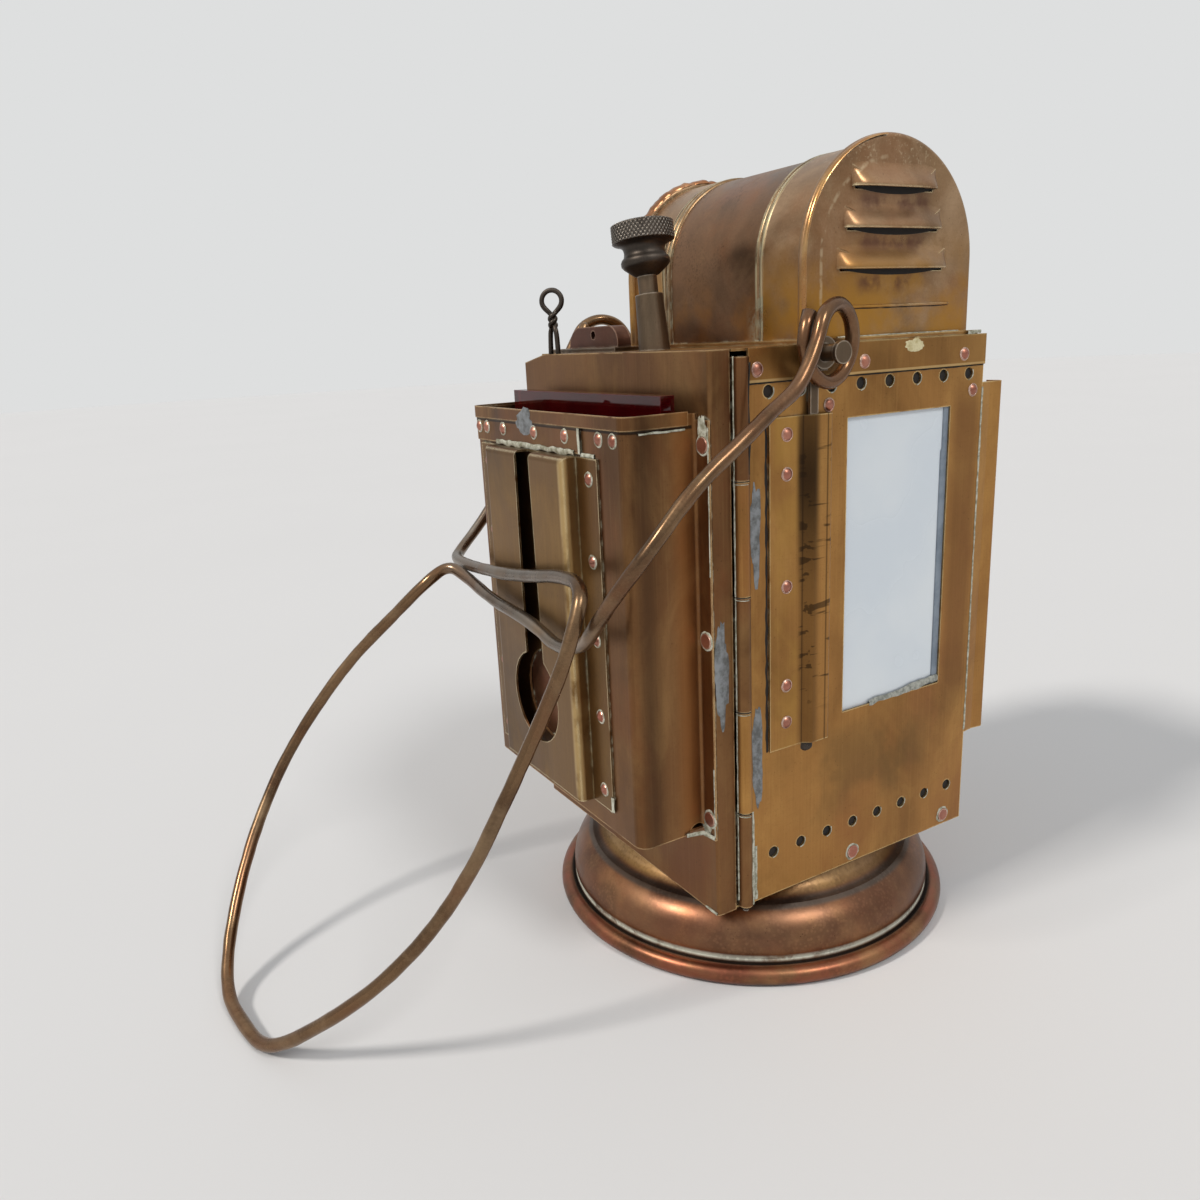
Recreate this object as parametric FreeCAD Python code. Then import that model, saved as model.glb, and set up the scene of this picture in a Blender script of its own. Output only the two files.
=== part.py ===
import FreeCAD, Part
import math
import os

# Square sheet-brass oil signalling lamp, in millimetres.
# +Z is up, the hinged shutter front faces -Y, the opal window faces +X.
# The origin is the centre of the foot, on the surface that the lamp stands on.

V = FreeCAD.Vector
X_AXIS = V(1, 0, 0)
Y_AXIS = V(0, 1, 0)
Z_AXIS = V(0, 0, 1)

# General sizes
SHEET = 0.8
GAP = 0.3
RUNNING = 0.05
OVERRUN = 2.0

# Case
BODY_X = 63.5
BODY_FRONT = 63.5
BODY_BACK = 63.5
BODY_BOTTOM = 34.3
BODY_TOP = 231.3
SIDE_B_FRONT = -48.3
DOOR_DEPTH = 8.0
DOOR_GAP = 0.6
CORNER_R = 1.4
BACK_FLANGE = 8.0
FRONT_FLANGE = 7.5

# Foot
FOOT_R = 83.5
FOOT_BEAD_R = 3.6
FOOT_GROOVE_R = 76.9
FOOT_GROOVE_Z = 8.3
FOOT_NECK_R = 68.4
FOOT_NECK_Z = 26.0
FOOT_TOP_R = 60.0
FOOT_WALL = 1.2
FOOT_BEAD_DEG = 40.0

# Vent rows in the sides
VENT_R = 2.1
VENT_COUNT = 8
LOW_VENT_Y = -38.2
LOW_VENT_PITCH = 13.22
LOW_VENT_RISE = 17.5
LOW_VENT_Z = BODY_BOTTOM + LOW_VENT_RISE
TOP_VENT_Y = -40.0
TOP_VENT_PITCH = 13.66
TOP_VENT_DROP = 13.9
TOP_VENT_Z = BODY_TOP - TOP_VENT_DROP

# Opal window
WINDOW_Y0 = -4.9
WINDOW_Y1 = 46.4
WINDOW_RISE = 64.2
WINDOW_DROP = 25.2
WINDOW_Z0 = BODY_BOTTOM + WINDOW_RISE
WINDOW_Z1 = BODY_TOP - WINDOW_DROP
WINDOW_LAP = 3.0
OPAL_THICK = 2.0
FRAME_LIP = 2.1
FRAME_BACK = 1.0

# Lid and its skirt
SKIRT_HEIGHT = 10.9
SKIRT_BOTTOM = BODY_TOP - SKIRT_HEIGHT
SKIRT_SETBACK = 0.5
SKIRT_FRONT = SIDE_B_FRONT - SKIRT_SETBACK
LID_LIP = 5.0

# Ventilator hood and the flue opening under it
HOOD_Y = 17.5
HOOD_X0 = -45.5
HOOD_X1 = 60.5
HOOD_R = 37.2
HOOD_CENTRE_RISE = 26.0
HOOD_CENTRE_Z = BODY_TOP + HOOD_CENTRE_RISE
FLUE_MARGIN_X = 10.0
FLUE_MARGIN_Y = 7.7
FLUE_X0 = HOOD_X0 + FLUE_MARGIN_X
FLUE_X1 = HOOD_X1 - FLUE_MARGIN_X
FLUE_Y0 = HOOD_Y - HOOD_R + FLUE_MARGIN_Y
FLUE_Y1 = HOOD_Y + HOOD_R - FLUE_MARGIN_Y
HOOD_BASE_THICK = 1.4
HOOD_BASE_MARGIN = 4.5
CAP_RIM_PROUD = 3.0
CAP_RIM_R = HOOD_R + CAP_RIM_PROUD
CAP_RIM_WIDTH = 3.6
CAP_SKIRT_WIDTH = 19.0
CAP_FIT = 0.05
BEAD_R = 1.1
BEAD_RISE = 0.9
BEAD_BEVEL = 0.6
BEAD_B_INSET = 23.5
BEAD_D_INSET = 26.5
BEAD_B_X = HOOD_X1 - BEAD_B_INSET
BEAD_D_X = HOOD_X0 + BEAD_D_INSET
BEAD_SPACING = 2.6
LOUVRE_COUNT = 3
LOUVRE_DROP = 2.7
LOUVRE_Z = HOOD_CENTRE_Z - LOUVRE_DROP
LOUVRE_PITCH = 12.8
LOUVRE_MARGIN = 11.4
LOUVRE_HALF = HOOD_R - LOUVRE_MARGIN
LOUVRE_NARROWING = 3.1
LOUVRE_PROUD = 3.5
LOUVRE_HEIGHT = 6.5
LOUVRE_SKIN = 0.7
BAFFLE_INSET = 7.0
BAFFLE_X = (HOOD_X0 + HOOD_X1) / 2
BAFFLE_HALF_X = (HOOD_X1 - HOOD_X0) / 2 - BAFFLE_INSET
BAFFLE_SIDE_GAP = 17.2
BAFFLE_HALF_Y = HOOD_R - BAFFLE_SIDE_GAP
BAFFLE_RISE = 30.7
BAFFLE_TOP = BODY_TOP + BAFFLE_RISE
BAFFLE_BEND = 6.0

# Side straps and bail lugs
STRAP_WINDOW_GAP = 8.1
STRAP_WIDTH = 27.2
STRAP_FLANGE = 14.7
STRAP_RISE_WIDTH = 3.0
STRAP_FALL_WIDTH = 2.0
STRAP_Y1 = WINDOW_Y0 - STRAP_WINDOW_GAP
STRAP_Y0 = STRAP_Y1 - STRAP_WIDTH
STRAP_FOLD_Y = STRAP_Y0 + STRAP_FLANGE
STRAP_RIDGE_Y = STRAP_FOLD_Y + STRAP_RISE_WIDTH
STRAP_RIDGE_END_Y = STRAP_Y1 - STRAP_FALL_WIDTH
STRAP_OVER = 2.7
STRAP_UNDER = 6.5
STRAP_Z0 = WINDOW_Z0 - STRAP_UNDER
STRAP_Z1 = WINDOW_Z1 + STRAP_OVER
STRAP_PROUD = 3.0
STRAP_BEND = 1.2
STRAP_RIVET_INSET = 7.5
STRAP_RIVET_Y = STRAP_Y0 + STRAP_RIVET_INSET
STRAP_RIVET_SHARES = (0.951, 0.839, 0.509, 0.202, 0.084)
PIN_Y = -22.0
PIN_DROP = 2.8
PIN_Z = BODY_TOP - PIN_DROP
PIN_R = 2.75
PIN_HEAD_R = 3.6
PIN_HEAD_LENGTH = 1.6
PIN_LENGTH = 14.1
PIN_END_X = BODY_X + SHEET + PIN_LENGTH
LUG_BLOCK_Y = 4.0
LUG_BLOCK_HEIGHT = 5.8
LUG_BLOCK_Z0 = PIN_Z - LUG_BLOCK_HEIGHT
LUG_BLOCK_THICK = 3.0
LUG_BAR_Y = 1.75
LUG_BAR_THICK = 1.2
WASHER_R = 5.2
WASHER_THICK = 1.2
WASHER_GAP = 1.7
WASHER_X = BODY_X + SHEET + LUG_BLOCK_THICK + WASHER_GAP

# Rear rails
RAIL_INSET = 0.9
RAIL_X = BODY_X - RAIL_INSET
RAIL_DEPTH = 13.5
RAIL_LAP = 11.0
RAIL_LIP = 7.0
RAIL_CREASE = 0.9
RAIL_DROP = 17.7
RAIL_LENGTH = 141.6
RAIL_Z1 = BODY_TOP - RAIL_DROP
RAIL_Z0 = RAIL_Z1 - RAIL_LENGTH

# Hinge
HINGE_STEP_X = 1.1
HINGE_STEP_Y = 3.7
HINGE_X = BODY_X + HINGE_STEP_X
HINGE_Y = SIDE_B_FRONT - HINGE_STEP_Y
KNUCKLE_R = 2.6
HINGE_PIN_R = 1.1
KNUCKLE_SHARES = (0.0061, 0.1954, 0.3893, 0.5954, 0.7904, 0.9883)
KNUCKLE_Z = [BODY_BOTTOM + (BODY_TOP - BODY_BOTTOM) * share for share in KNUCKLE_SHARES]
HINGE_LEAF = 9.5
HINGE_PIN_TAIL = 2.0

# Hinged front
FRONT_TOP_FLAT_X = -45.0
FRONT_CORNER_DROP = 3.3
BEAM_X = -5.0
BEAM_RISE = 71.2
BEAM_Z = BODY_BOTTOM + BEAM_RISE
BEAM_R = 20.0
FRONT_NOTCH_INSET = 3.5
FRONT_NOTCH_X = BODY_X - FRONT_NOTCH_INSET
FRONT_NOTCH_WIDTH = 4.0

# Front box
BOX_FLANGE = 6.8
BOX_DEPTH = 27.1
BOX_RISE = 31.8
BOX_DROP = 19.1
BOX_HALF_X = BODY_X - BOX_FLANGE
BOX_Y = -BODY_FRONT - BOX_DEPTH
BOX_Z0 = BODY_BOTTOM + BOX_RISE
BOX_Z1 = BODY_TOP - BOX_DROP
BOX_CORNER_R = 4.0
BOX_FLARE_R = 1.6
BOX_FLANGE_UNDER = 1.5
BOX_FLANGE_SHORT = 2.0
BOX_FLANGE_Z0 = BOX_Z0 - BOX_FLANGE_UNDER
BOX_FLANGE_Z1 = BOX_Z1 - BOX_FLANGE_SHORT
BOX_RELIEF_R = 3.4
RIM_HEIGHT = 4.5
RIM_PROUD = 0.8
RIM_END_GAP = 3.9
RIM_Z1 = BOX_Z1 + RIM_PROUD
RIM_Z0 = RIM_Z1 - RIM_HEIGHT
RIM_END_Y = -BODY_FRONT - RIM_END_GAP
STRIP_INSET = 27.7
STRIP_HEIGHT = 8.5
STRIP_X1 = BOX_HALF_X - STRIP_INSET
STRIP_Z0 = RIM_Z0 - STRIP_HEIGHT
BOX_FRONT_RIVET_SHARES = (-0.887, -0.765, -0.506, -0.056, 0.346, 0.718, 0.869)
BOX_FRONT_RIVET_DROP = 3.2
BOX_FRONT_RIVET_Z = RIM_Z0 - BOX_FRONT_RIVET_DROP

# Keyhole hat panel
HAT_FLANGE = 13.6
HAT_LEFT_MARGIN = 7.1
HAT_RIGHT_MARGIN = 16.6
HAT_PROUD = 6.2
HAT_RISE = 7.9
HAT_TOP_GAP = 1.0
HAT_X0 = -BOX_HALF_X + HAT_LEFT_MARGIN + HAT_FLANGE
HAT_X1 = BOX_HALF_X - HAT_RIGHT_MARGIN - HAT_FLANGE
HAT_Y = BOX_Y - HAT_PROUD
HAT_Z0 = BOX_Z0 + HAT_RISE
HAT_Z1 = STRIP_Z0 - HAT_TOP_GAP
HAT_SHOULDER_R = 2.4
HAT_RIVET_INSET = 8.5
HAT_RIVET_SHARES = (0.945, 0.723, 0.502, 0.28, 0.056)
KEYHOLE_R = 17.5
SLOT_X = -4.0
SLOT_TOP_WIDTH = 11.0
SLOT_LOW_WIDTH = 14.5

# Rivets
DOME_R = 2.2
DOME_HEIGHT = 1.2
FLAT_R = 2.8
FLAT_HEIGHT = 0.6
FLAT_EDGE = 0.25
SKIRT_RIVET_Y = (-45.2, 1.7, 51.7)
SKIRT_RIVET_DROP = 6.8
SKIRT_RIVET_Z = BODY_TOP - SKIRT_RIVET_DROP
SIDE_DOME_RIVET_Y = (-13.7, 58.2)
SIDE_DOME_RIVET_DROP = 20.1
SIDE_FLAT_RIVET_Y = (1.7, 52.8)
SIDE_FLAT_RIVET_RISE = 4.3
FLANGE_RIVET_INSET = 2.85
FLANGE_RIVET_X = BODY_X - FLANGE_RIVET_INSET
FLANGE_RIVET_SHARES = (0.946, 0.501, 0.051)

# Red glass and its guides
GLASS_SIDE_GAP = 3.4
GLASS_THICK = 5.2
GLASS_SETBACK = 5.6
GLASS_RISE = 13.9
GLASS_PROUD = 5.8
GLASS_HALF_X = BOX_HALF_X - SHEET - GLASS_SIDE_GAP
GLASS_Y1 = -BODY_FRONT - GLASS_SETBACK
GLASS_Y0 = GLASS_Y1 - GLASS_THICK
GLASS_Z0 = BOX_Z0 + GLASS_RISE
GLASS_Z1 = BOX_Z1 + GLASS_PROUD
GUIDE_LAP = 3.0
GUIDE_WALL = 1.2
GUIDE_DROP = 6.2
GUIDE_Z1 = BOX_Z1 - GUIDE_DROP

# Shutter
SHUTTER_PIVOT_RISE = 9.5
SHUTTER_PIVOT_Z = BOX_Z0 + SHUTTER_PIVOT_RISE
SHUTTER_LAP = 1.0
SHUTTER_R = KEYHOLE_R + SHUTTER_LAP
SHUTTER_RIM = 1.6
SHUTTER_ARM = 6.0
SHUTTER_TAPER_SHARE = 0.8
SHUTTER_SHAFT_R = 1.8
SHUTTER_BOSS_R = 3.6
CRANK_R = 6.1
CRANK_REST_DEG = 29.0
CRANK_THICK = 4.0
CRANK_PAD_R = 1.6
CRANK_WEB_HALF = 1.0
BEARING_SETBACK = 8.6
BEARING_Y = BOX_Y + BEARING_SETBACK
BEARING_THICK = 3.0
BEARING_R = 4.2

# Dark slide, its guides and the wire pull
SLIDE_LEFT = 48.0
SLIDE_RIGHT = 20.6
SLIDE_LOW = 23.5
SLIDE_X0 = BEAM_X - SLIDE_LEFT
SLIDE_X1 = BEAM_X + SLIDE_RIGHT
SLIDE_Z0 = BEAM_Z - SLIDE_LOW
SLIDE_LIFT = 44.0
SLIDE_TOP_ROOM = 2.0
GUIDE_STRIP = 2.2
PULL_INSET = 18.0
PULL_SETBACK = 5.1
PULL_X = -BODY_X + PULL_INSET
PULL_Y = -BODY_FRONT + PULL_SETBACK
PULL_WIRE_R = 1.0
PULL_SPREAD = 3.2
PULL_TWIST_RISE = 14.2
PULL_EYE_RISE = 20.0
PULL_TWIST_Z = BODY_TOP + PULL_TWIST_RISE
PULL_EYE_R = 4.2
PULL_EYE_Z = BODY_TOP + PULL_EYE_RISE
PULL_FOOT = 14.0
PULL_NECK_RISE = 4.7
PULL_EYE_TURN_DEG = 48.7
PULL_SIDES = 6

# Lens
LENS_R = 22.0
LENS_EDGE = 2.0
LENS_BULGE = 6.0
LENS_RING_WALL = 1.6
LENS_RING_DEPTH = 9.0
LENS_STOP = 1.6

# Plunger
PLUNGER_X = 7.9
PLUNGER_Y = -46.0
PLUNGER_BASE_RISE = 1.7
PLUNGER_BASE_Z = BODY_TOP + PLUNGER_BASE_RISE
PLUNGER_LEAN_DEG = 7.5
TUBE_LOW_R = 5.75
TUBE_TOP_R = 4.95
TUBE_TOP_H = 17.75
ROD_R = 3.5
THIN_ROD_R = 2.5
ROD_NOSE_R = 1.2
ROD_NOSE_LENGTH = 9.0
ROD_STEP_DEPTH = 9.0
ROD_STEP_H = -ROD_STEP_DEPTH
ROD_SHOWN = 6.45
KNOB_CONE = 3.0
KNOB_BEAD = 3.4
KNOB_COVE = 2.4
KNOB_FLARE = 2.8
HEAD_HEIGHT = 6.6
KNOB_H = TUBE_TOP_H + ROD_SHOWN
BEAD_LOW_H = KNOB_H + KNOB_CONE
BEAD_TOP_H = BEAD_LOW_H + KNOB_BEAD
WAIST_H = BEAD_TOP_H + KNOB_COVE
HEAD_LOW_H = WAIST_H + KNOB_FLARE
HEAD_TOP_H = HEAD_LOW_H + HEAD_HEIGHT
BEAD_KNOB_R = 8.8
WAIST_R = 7.35
HEAD_R = 11.35
HEAD_CHAMFER = 0.9
COLLAR_R = 6.0
COLLAR_THICK = 2.0
COLLAR_DEPTH = 12.0
SPRING_ROOM = 24.0
COLLAR_H = -COLLAR_DEPTH
BRACKET_H = COLLAR_H - COLLAR_THICK - SPRING_ROOM
BRACKET_HALF = 10.0
BRACKET_WIDTH = 12.0
BRACKET_THICK = 1.2
SPRING_R = 4.4
SPRING_WIRE_R = 0.5
SPRING_TURNS = 7
SPRING_SIDES = 6
SPRING_END = 0.2

# Lug and plate on the lid
TOP_PLATE_INSET = 6.5
TOP_PLATE_LENGTH = 49.0
TOP_PLATE_WIDTH = 17.0
TOP_PLATE_SETBACK = 10.5
TOP_PLATE_THICK = 1.6
TOP_PLATE_X0 = -BODY_X + TOP_PLATE_INSET
TOP_PLATE_X1 = TOP_PLATE_X0 + TOP_PLATE_LENGTH
TOP_PLATE_Y0 = -BODY_FRONT + TOP_PLATE_SETBACK
TOP_PLATE_Y1 = TOP_PLATE_Y0 + TOP_PLATE_WIDTH
LOCK_INSET = 2.0
LOCK_LENGTH = 38.0
LOCK_SETBACK = 7.0
LOCK_THICK = 6.0
LOCK_HEIGHT = 8.1
LOCK_LEFT_R = 9.4
LOCK_RIGHT_R = 6.0
LOCK_X0 = TOP_PLATE_X0 + LOCK_INSET
LOCK_X1 = LOCK_X0 + LOCK_LENGTH
LOCK_Y0 = TOP_PLATE_Y0 + LOCK_SETBACK
LOCK_Y1 = LOCK_Y0 + LOCK_THICK
LOCK_TOP = BODY_TOP + TOP_PLATE_THICK + LOCK_HEIGHT
LOCK_FLAT_X0 = LOCK_X0 + LOCK_LEFT_R
LOCK_FLAT_X1 = LOCK_X1 - LOCK_RIGHT_R
LOCK_HOLE_ALONG = 19.5
LOCK_HOLE_DROP = 3.3
LOCK_HOLE_X = LOCK_X0 + LOCK_HOLE_ALONG
LOCK_HOLE_Z = LOCK_TOP - LOCK_HOLE_DROP
LOCK_HOLE_R = 1.6

# Lamp inside the case
FONT_Y = 8.0
FONT_R = 38.0
FONT_HEIGHT = 36.9
FONT_TOP = BODY_BOTTOM + SHEET + FONT_HEIGHT
FONT_EDGE_R = 4.0
FONT_DOME = 5.0
BURNER_R = 13.0
BURNER_LOW_H = 6.0
BURNER_HEIGHT = 11.0
BURNER_TOP = FONT_TOP + FONT_DOME + BURNER_HEIGHT
BURNER_NECK_R = 8.0
WICK_HALF_X = 6.0
WICK_HALF_Y = 1.1
WICK_SLACK = 0.35
WICK_WALL = 0.8
WICK_TUBE_HEIGHT = 10.0
TUBE_WICK_TOP = BURNER_TOP + WICK_TUBE_HEIGHT
WICK_SHOWN = 3.0
WICK_LENGTH = 41.0
WICK_TOP = TUBE_WICK_TOP + WICK_SHOWN
WICK_BOTTOM = WICK_TOP - WICK_LENGTH
WINDER_DROP = 6.0
WINDER_Z = BURNER_TOP - WINDER_DROP
WINDER_R = 1.2
WINDER_OFFSET_Y = 4.6
WINDER_COG_R = 2.3
WINDER_COG_HALF = 4.0
WINDER_LENGTH = 28.0
WINDER_WHEEL_R = 6.5
WINDER_WHEEL_THICK = 2.4
DEFLECTOR_R = 14.0
DEFLECTOR_HEIGHT = 15.0
DEFLECTOR_TOP = BURNER_TOP + DEFLECTOR_HEIGHT
DEFLECTOR_TOP_R = 8.5
REFLECTOR_R = 34.0
REFLECTOR_DEPTH = 9.0
REFLECTOR_GAP = 6.0
REFLECTOR_Y = BODY_BACK - REFLECTOR_GAP
STAY_WIDTH = 14.0
STAY_R = 3.0

# Door catch
CATCH_RISE = 97.7
CATCH_Z = BODY_BOTTOM + CATCH_RISE
CATCH_HEIGHT = 14.0
CATCH_LENGTH = 22.0
CATCH_BACK_Y = -BODY_FRONT + CATCH_LENGTH
CATCH_REACH = 2.0

# Bail
BAIL_R = 2.35
EYE_R = 13.0
EYE_X = 74.0
EYE_Y = -19.4
EYE_Z = 231.2
EYE_TURN_DEG = 15.0
EYE_PITCH = 5.4
EYE_STEP_DEG = 45.0
EYE_STEPS = 10
EYE_FIRST_DEG = -230.0
FAR_EYE_X = 74.4
FAR_EYE_Z = 232.4
BEND_SHARE = 0.45
BAIL_SIDES = 8

# Bail route in real sizes, from the window side round to the far side
NEAR_ARM = (
    (79.5, -41.0, 219.0), (82.0, -53.0, 213.7), (84.5, -66.0, 206.5), (85.0, -86.0, 193.7),
    (84.0, -102.0, 176.7), (75.0, -109.0, 162.5), (60.0, -108.6, 147.6), (46.0, -103.0, 140.4))
LOWER_BAR = (
    (26.2, -101.5, 133.3), (7.1, -101.5, 138.6), (-29.0, -101.5, 139.9),
    (-51.2, -102.5, 145.4), (-61.0, -106.0, 149.0))
LOOP = (
    (-61.0, -116.5, 143.2), (-70.5, -128.7, 129.0), (-82.8, -144.5, 111.0), (-89.2, -163.7, 87.4),
    (-88.7, -180.0, 65.8), (-81.4, -193.8, 46.0), (-69.6, -205.0, 28.8), (-56.8, -213.0, 15.2),
    (-40.5, -218.6, 4.6), (-21.0, -216.8, 2.5), (0.0, -212.6, 2.5), (20.6, -195.4, 20.3),
    (35.0, -180.0, 37.0), (45.0, -164.0, 56.0), (51.3, -150.5, 76.9), (54.1, -137.0, 101.0),
    (56.2, -127.0, 120.0), (60.1, -120.0, 136.9), (61.2, -115.0, 150.0))
UPPER_BAR = (
    (58.2, -108.5, 163.5), (37.1, -104.0, 162.4), (0.6, -101.5, 154.8),
    (-27.0, -101.5, 151.6), (-72.0, -98.5, 147.6))
FAR_ARM = ((-79.5, -93.0, 150.0), (-82.0, -81.0, 160.0), (-84.0, -62.0, 182.0), (-82.5, -45.0, 210.0))


def box(x0, x1, y0, y1, z0, z1):
    return Part.makeBox(x1 - x0, y1 - y0, z1 - z0, V(x0, y0, z0))


def rod(x, y, z, axis, radius, length):
    return Part.makeCylinder(radius, length, V(x, y, z), axis)


def polygon(points, depth):
    wire = Part.makePolygon(list(points) + [points[0]])
    return Part.Face(wire).extrude(depth)


def fused(shapes):
    whole = shapes[0].fuse(shapes[1:])
    return whole.removeSplitter()


def mirrored_x(shape):
    return shape.mirror(V(0, 0, 0), X_AXIS)


def save(name, *shapes):
    solids = [solid for shape in shapes for solid in shape.Solids]
    whole = solids[0] if len(solids) == 1 else Part.makeCompound(solids)
    whole.exportStep(os.path.join("parts", name + ".step"))


# Edges of a route of straight runs joined by tangent arcs
def route_edges(points, radii):
    edges = []
    start = points[0]
    for index in range(1, len(points) - 1):
        corner = points[index]
        back = (points[index - 1] - corner).normalize()
        ahead = (points[index + 1] - corner).normalize()
        half_turn = (math.pi - back.getAngle(ahead)) / 2
        radius = radii[index - 1]
        reach = radius * math.tan(half_turn)
        first = corner + back * reach
        last = corner + ahead * reach
        inward = (back + ahead).normalize()
        middle = corner + inward * (radius / math.cos(half_turn) - radius)
        edges.append(Part.LineSegment(start, first).toShape())
        edges.append(Part.Arc(first, middle, last).toShape())
        start = last
    edges.append(Part.LineSegment(start, points[-1]).toShape())
    return edges


# Each arc is as large as its two runs allow
def wide_radii(points):
    radii = []
    for index in range(1, len(points) - 1):
        back = points[index - 1] - points[index]
        ahead = points[index + 1] - points[index]
        half_turn = (math.pi - back.getAngle(ahead)) / 2
        radii.append(BEND_SHARE * min(back.Length, ahead.Length) / math.tan(half_turn))
    return radii


def ring(centre, axis, radius, sides):
    across = axis.cross(X_AXIS if abs(axis.x) < abs(axis.y) + abs(axis.z) else Y_AXIS).normalize()
    along = axis.cross(across).normalize()
    corners = []
    for index in range(sides + 1):
        angle = 2 * math.pi * (index % sides) / sides
        corners.append(centre + across * (radius * math.cos(angle)) + along * (radius * math.sin(angle)))
    return Part.makePolygon(corners)


# Bent wire; its section has many flat sides, of the round wire's area
def wire_tube(points, radii, wire_radius, sides):
    path = Part.Wire(route_edges(points, radii))
    step = 2 * math.pi / sides
    reach = wire_radius * math.sqrt(step / math.sin(step))
    section = ring(points[0], points[1] - points[0], reach, sides)
    return path.makePipeShell([section], True, False)


# One side of a bent strip, moved sideways from its middle line
def shifted(points, shift):
    moved = []
    for index, point in enumerate(points):
        normals = []
        if index > 0:
            run = point - points[index - 1]
            normals.append(V(-run.y, run.x, 0).normalize())
        if index < len(points) - 1:
            run = points[index + 1] - point
            normals.append(V(-run.y, run.x, 0).normalize())
        middle = sum(normals[1:], normals[0]).normalize()
        moved.append(point + middle * (shift / middle.dot(normals[0])))
    return moved


# Sheet of one thickness bent along a line in plan; radii are those of the middle line
def bent_sheet(plan, radii, thickness, z0, z1):
    points = [V(x, y, z0) for x, y in plan]
    half = thickness / 2
    turns = []
    for index in range(1, len(points) - 1):
        before = points[index] - points[index - 1]
        after = points[index + 1] - points[index]
        turns.append(math.copysign(1, before.cross(after).z))
    left = [r - half * turn for r, turn in zip(radii, turns)]
    right = [r + half * turn for r, turn in zip(radii, turns)]
    left_side = shifted(points, half)
    right_side = shifted(points, -half)
    edges = route_edges(left_side, left)
    edges.append(Part.LineSegment(left_side[-1], right_side[-1]).toShape())
    edges.extend(route_edges(right_side[::-1], right[::-1]))
    edges.append(Part.LineSegment(right_side[0], left_side[0]).toShape())
    face = Part.Face(Part.Wire(edges))
    return face.extrude(V(0, 0, z1 - z0))


def edges_at(shape, test):
    return [edge for edge in shape.Edges if test(edge)]


def dome_rivet(place, normal):
    ball = (DOME_R ** 2 + DOME_HEIGHT ** 2) / (2 * DOME_HEIGHT)
    sink = ball - DOME_HEIGHT
    low = math.degrees(math.asin(sink / ball))
    return Part.makeSphere(ball, place - normal * sink, normal, low, 90, 360)


def flat_rivet(place, normal):
    return Part.makeCone(FLAT_R, FLAT_R - FLAT_EDGE, FLAT_HEIGHT, place, normal)


# Foot
def foot():
    bead_x = FOOT_R - FOOT_BEAD_R
    turn = math.radians(FOOT_BEAD_DEG)
    bead_top = V(bead_x - FOOT_BEAD_R * math.sin(turn), 0, FOOT_BEAD_R + FOOT_BEAD_R * math.cos(turn))
    groove = V(FOOT_GROOVE_R, 0, FOOT_GROOVE_Z)
    neck = V(FOOT_NECK_R, 0, FOOT_NECK_Z)
    swell = V((FOOT_GROOVE_R + FOOT_NECK_R) / 2 + FOOT_BEAD_R, 0, (FOOT_GROOVE_Z + FOOT_NECK_Z) / 2)
    top = V(FOOT_TOP_R, 0, BODY_BOTTOM)
    cove = V((FOOT_NECK_R + FOOT_TOP_R) / 2 - FOOT_WALL, 0, (FOOT_NECK_Z + BODY_BOTTOM) / 2 - FOOT_WALL)
    inner_top = V(FOOT_TOP_R - FOOT_WALL, 0, BODY_BOTTOM)
    inner_neck = V(FOOT_NECK_R - 2 * FOOT_WALL, 0, FOOT_NECK_Z - FOOT_WALL)
    inner_groove = V(FOOT_GROOVE_R - FOOT_WALL, 0, FOOT_GROOVE_Z)
    inner_swell = swell - V(2 * FOOT_WALL, 0, 0)
    inner_bead = V(bead_x - FOOT_BEAD_R, 0, FOOT_BEAD_R)
    outline = [
        Part.LineSegment(V(bead_x - FOOT_WALL, 0, 0), V(bead_x, 0, 0)),
        Part.Arc(V(bead_x, 0, 0), V(FOOT_R, 0, FOOT_BEAD_R), bead_top),
        Part.LineSegment(bead_top, groove),
        Part.Arc(groove, swell, neck),
        Part.Arc(neck, cove, top),
        Part.LineSegment(top, inner_top),
        Part.LineSegment(inner_top, inner_neck),
        Part.LineSegment(inner_neck, inner_swell),
        Part.LineSegment(inner_swell, inner_groove),
        Part.LineSegment(inner_groove, inner_bead),
        Part.LineSegment(inner_bead, V(bead_x - FOOT_WALL, 0, 0)),
    ]
    face = Part.Face(Part.Wire([line.toShape() for line in outline]))
    return face.revolve(V(0, 0, 0), Z_AXIS, 360)


def floor_plate():
    inner = BODY_X - SHEET
    door_back = -BODY_FRONT + DOOR_DEPTH + DOOR_GAP
    return box(-inner, inner, door_back, BODY_BACK - SHEET, BODY_BOTTOM, BODY_BOTTOM + SHEET)


# Sides, back and lid
def vent_holes(x0, length):
    holes = []
    for index in range(VENT_COUNT):
        low_y = LOW_VENT_Y + LOW_VENT_PITCH * index
        top_y = TOP_VENT_Y + TOP_VENT_PITCH * index
        holes.append(rod(x0, low_y, LOW_VENT_Z, X_AXIS, VENT_R, length))
        holes.append(rod(x0, top_y, TOP_VENT_Z, X_AXIS, VENT_R, length))
    return holes


def side_b():
    inner = BODY_X - SHEET
    sheet = box(inner, BODY_X, SIDE_B_FRONT, BODY_BACK, BODY_BOTTOM, BODY_TOP - SHEET)
    window = box(inner - OVERRUN, BODY_X + OVERRUN, WINDOW_Y0, WINDOW_Y1, WINDOW_Z0, WINDOW_Z1)
    return sheet.cut([window] + vent_holes(inner - OVERRUN, SHEET + 2 * OVERRUN))


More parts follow.
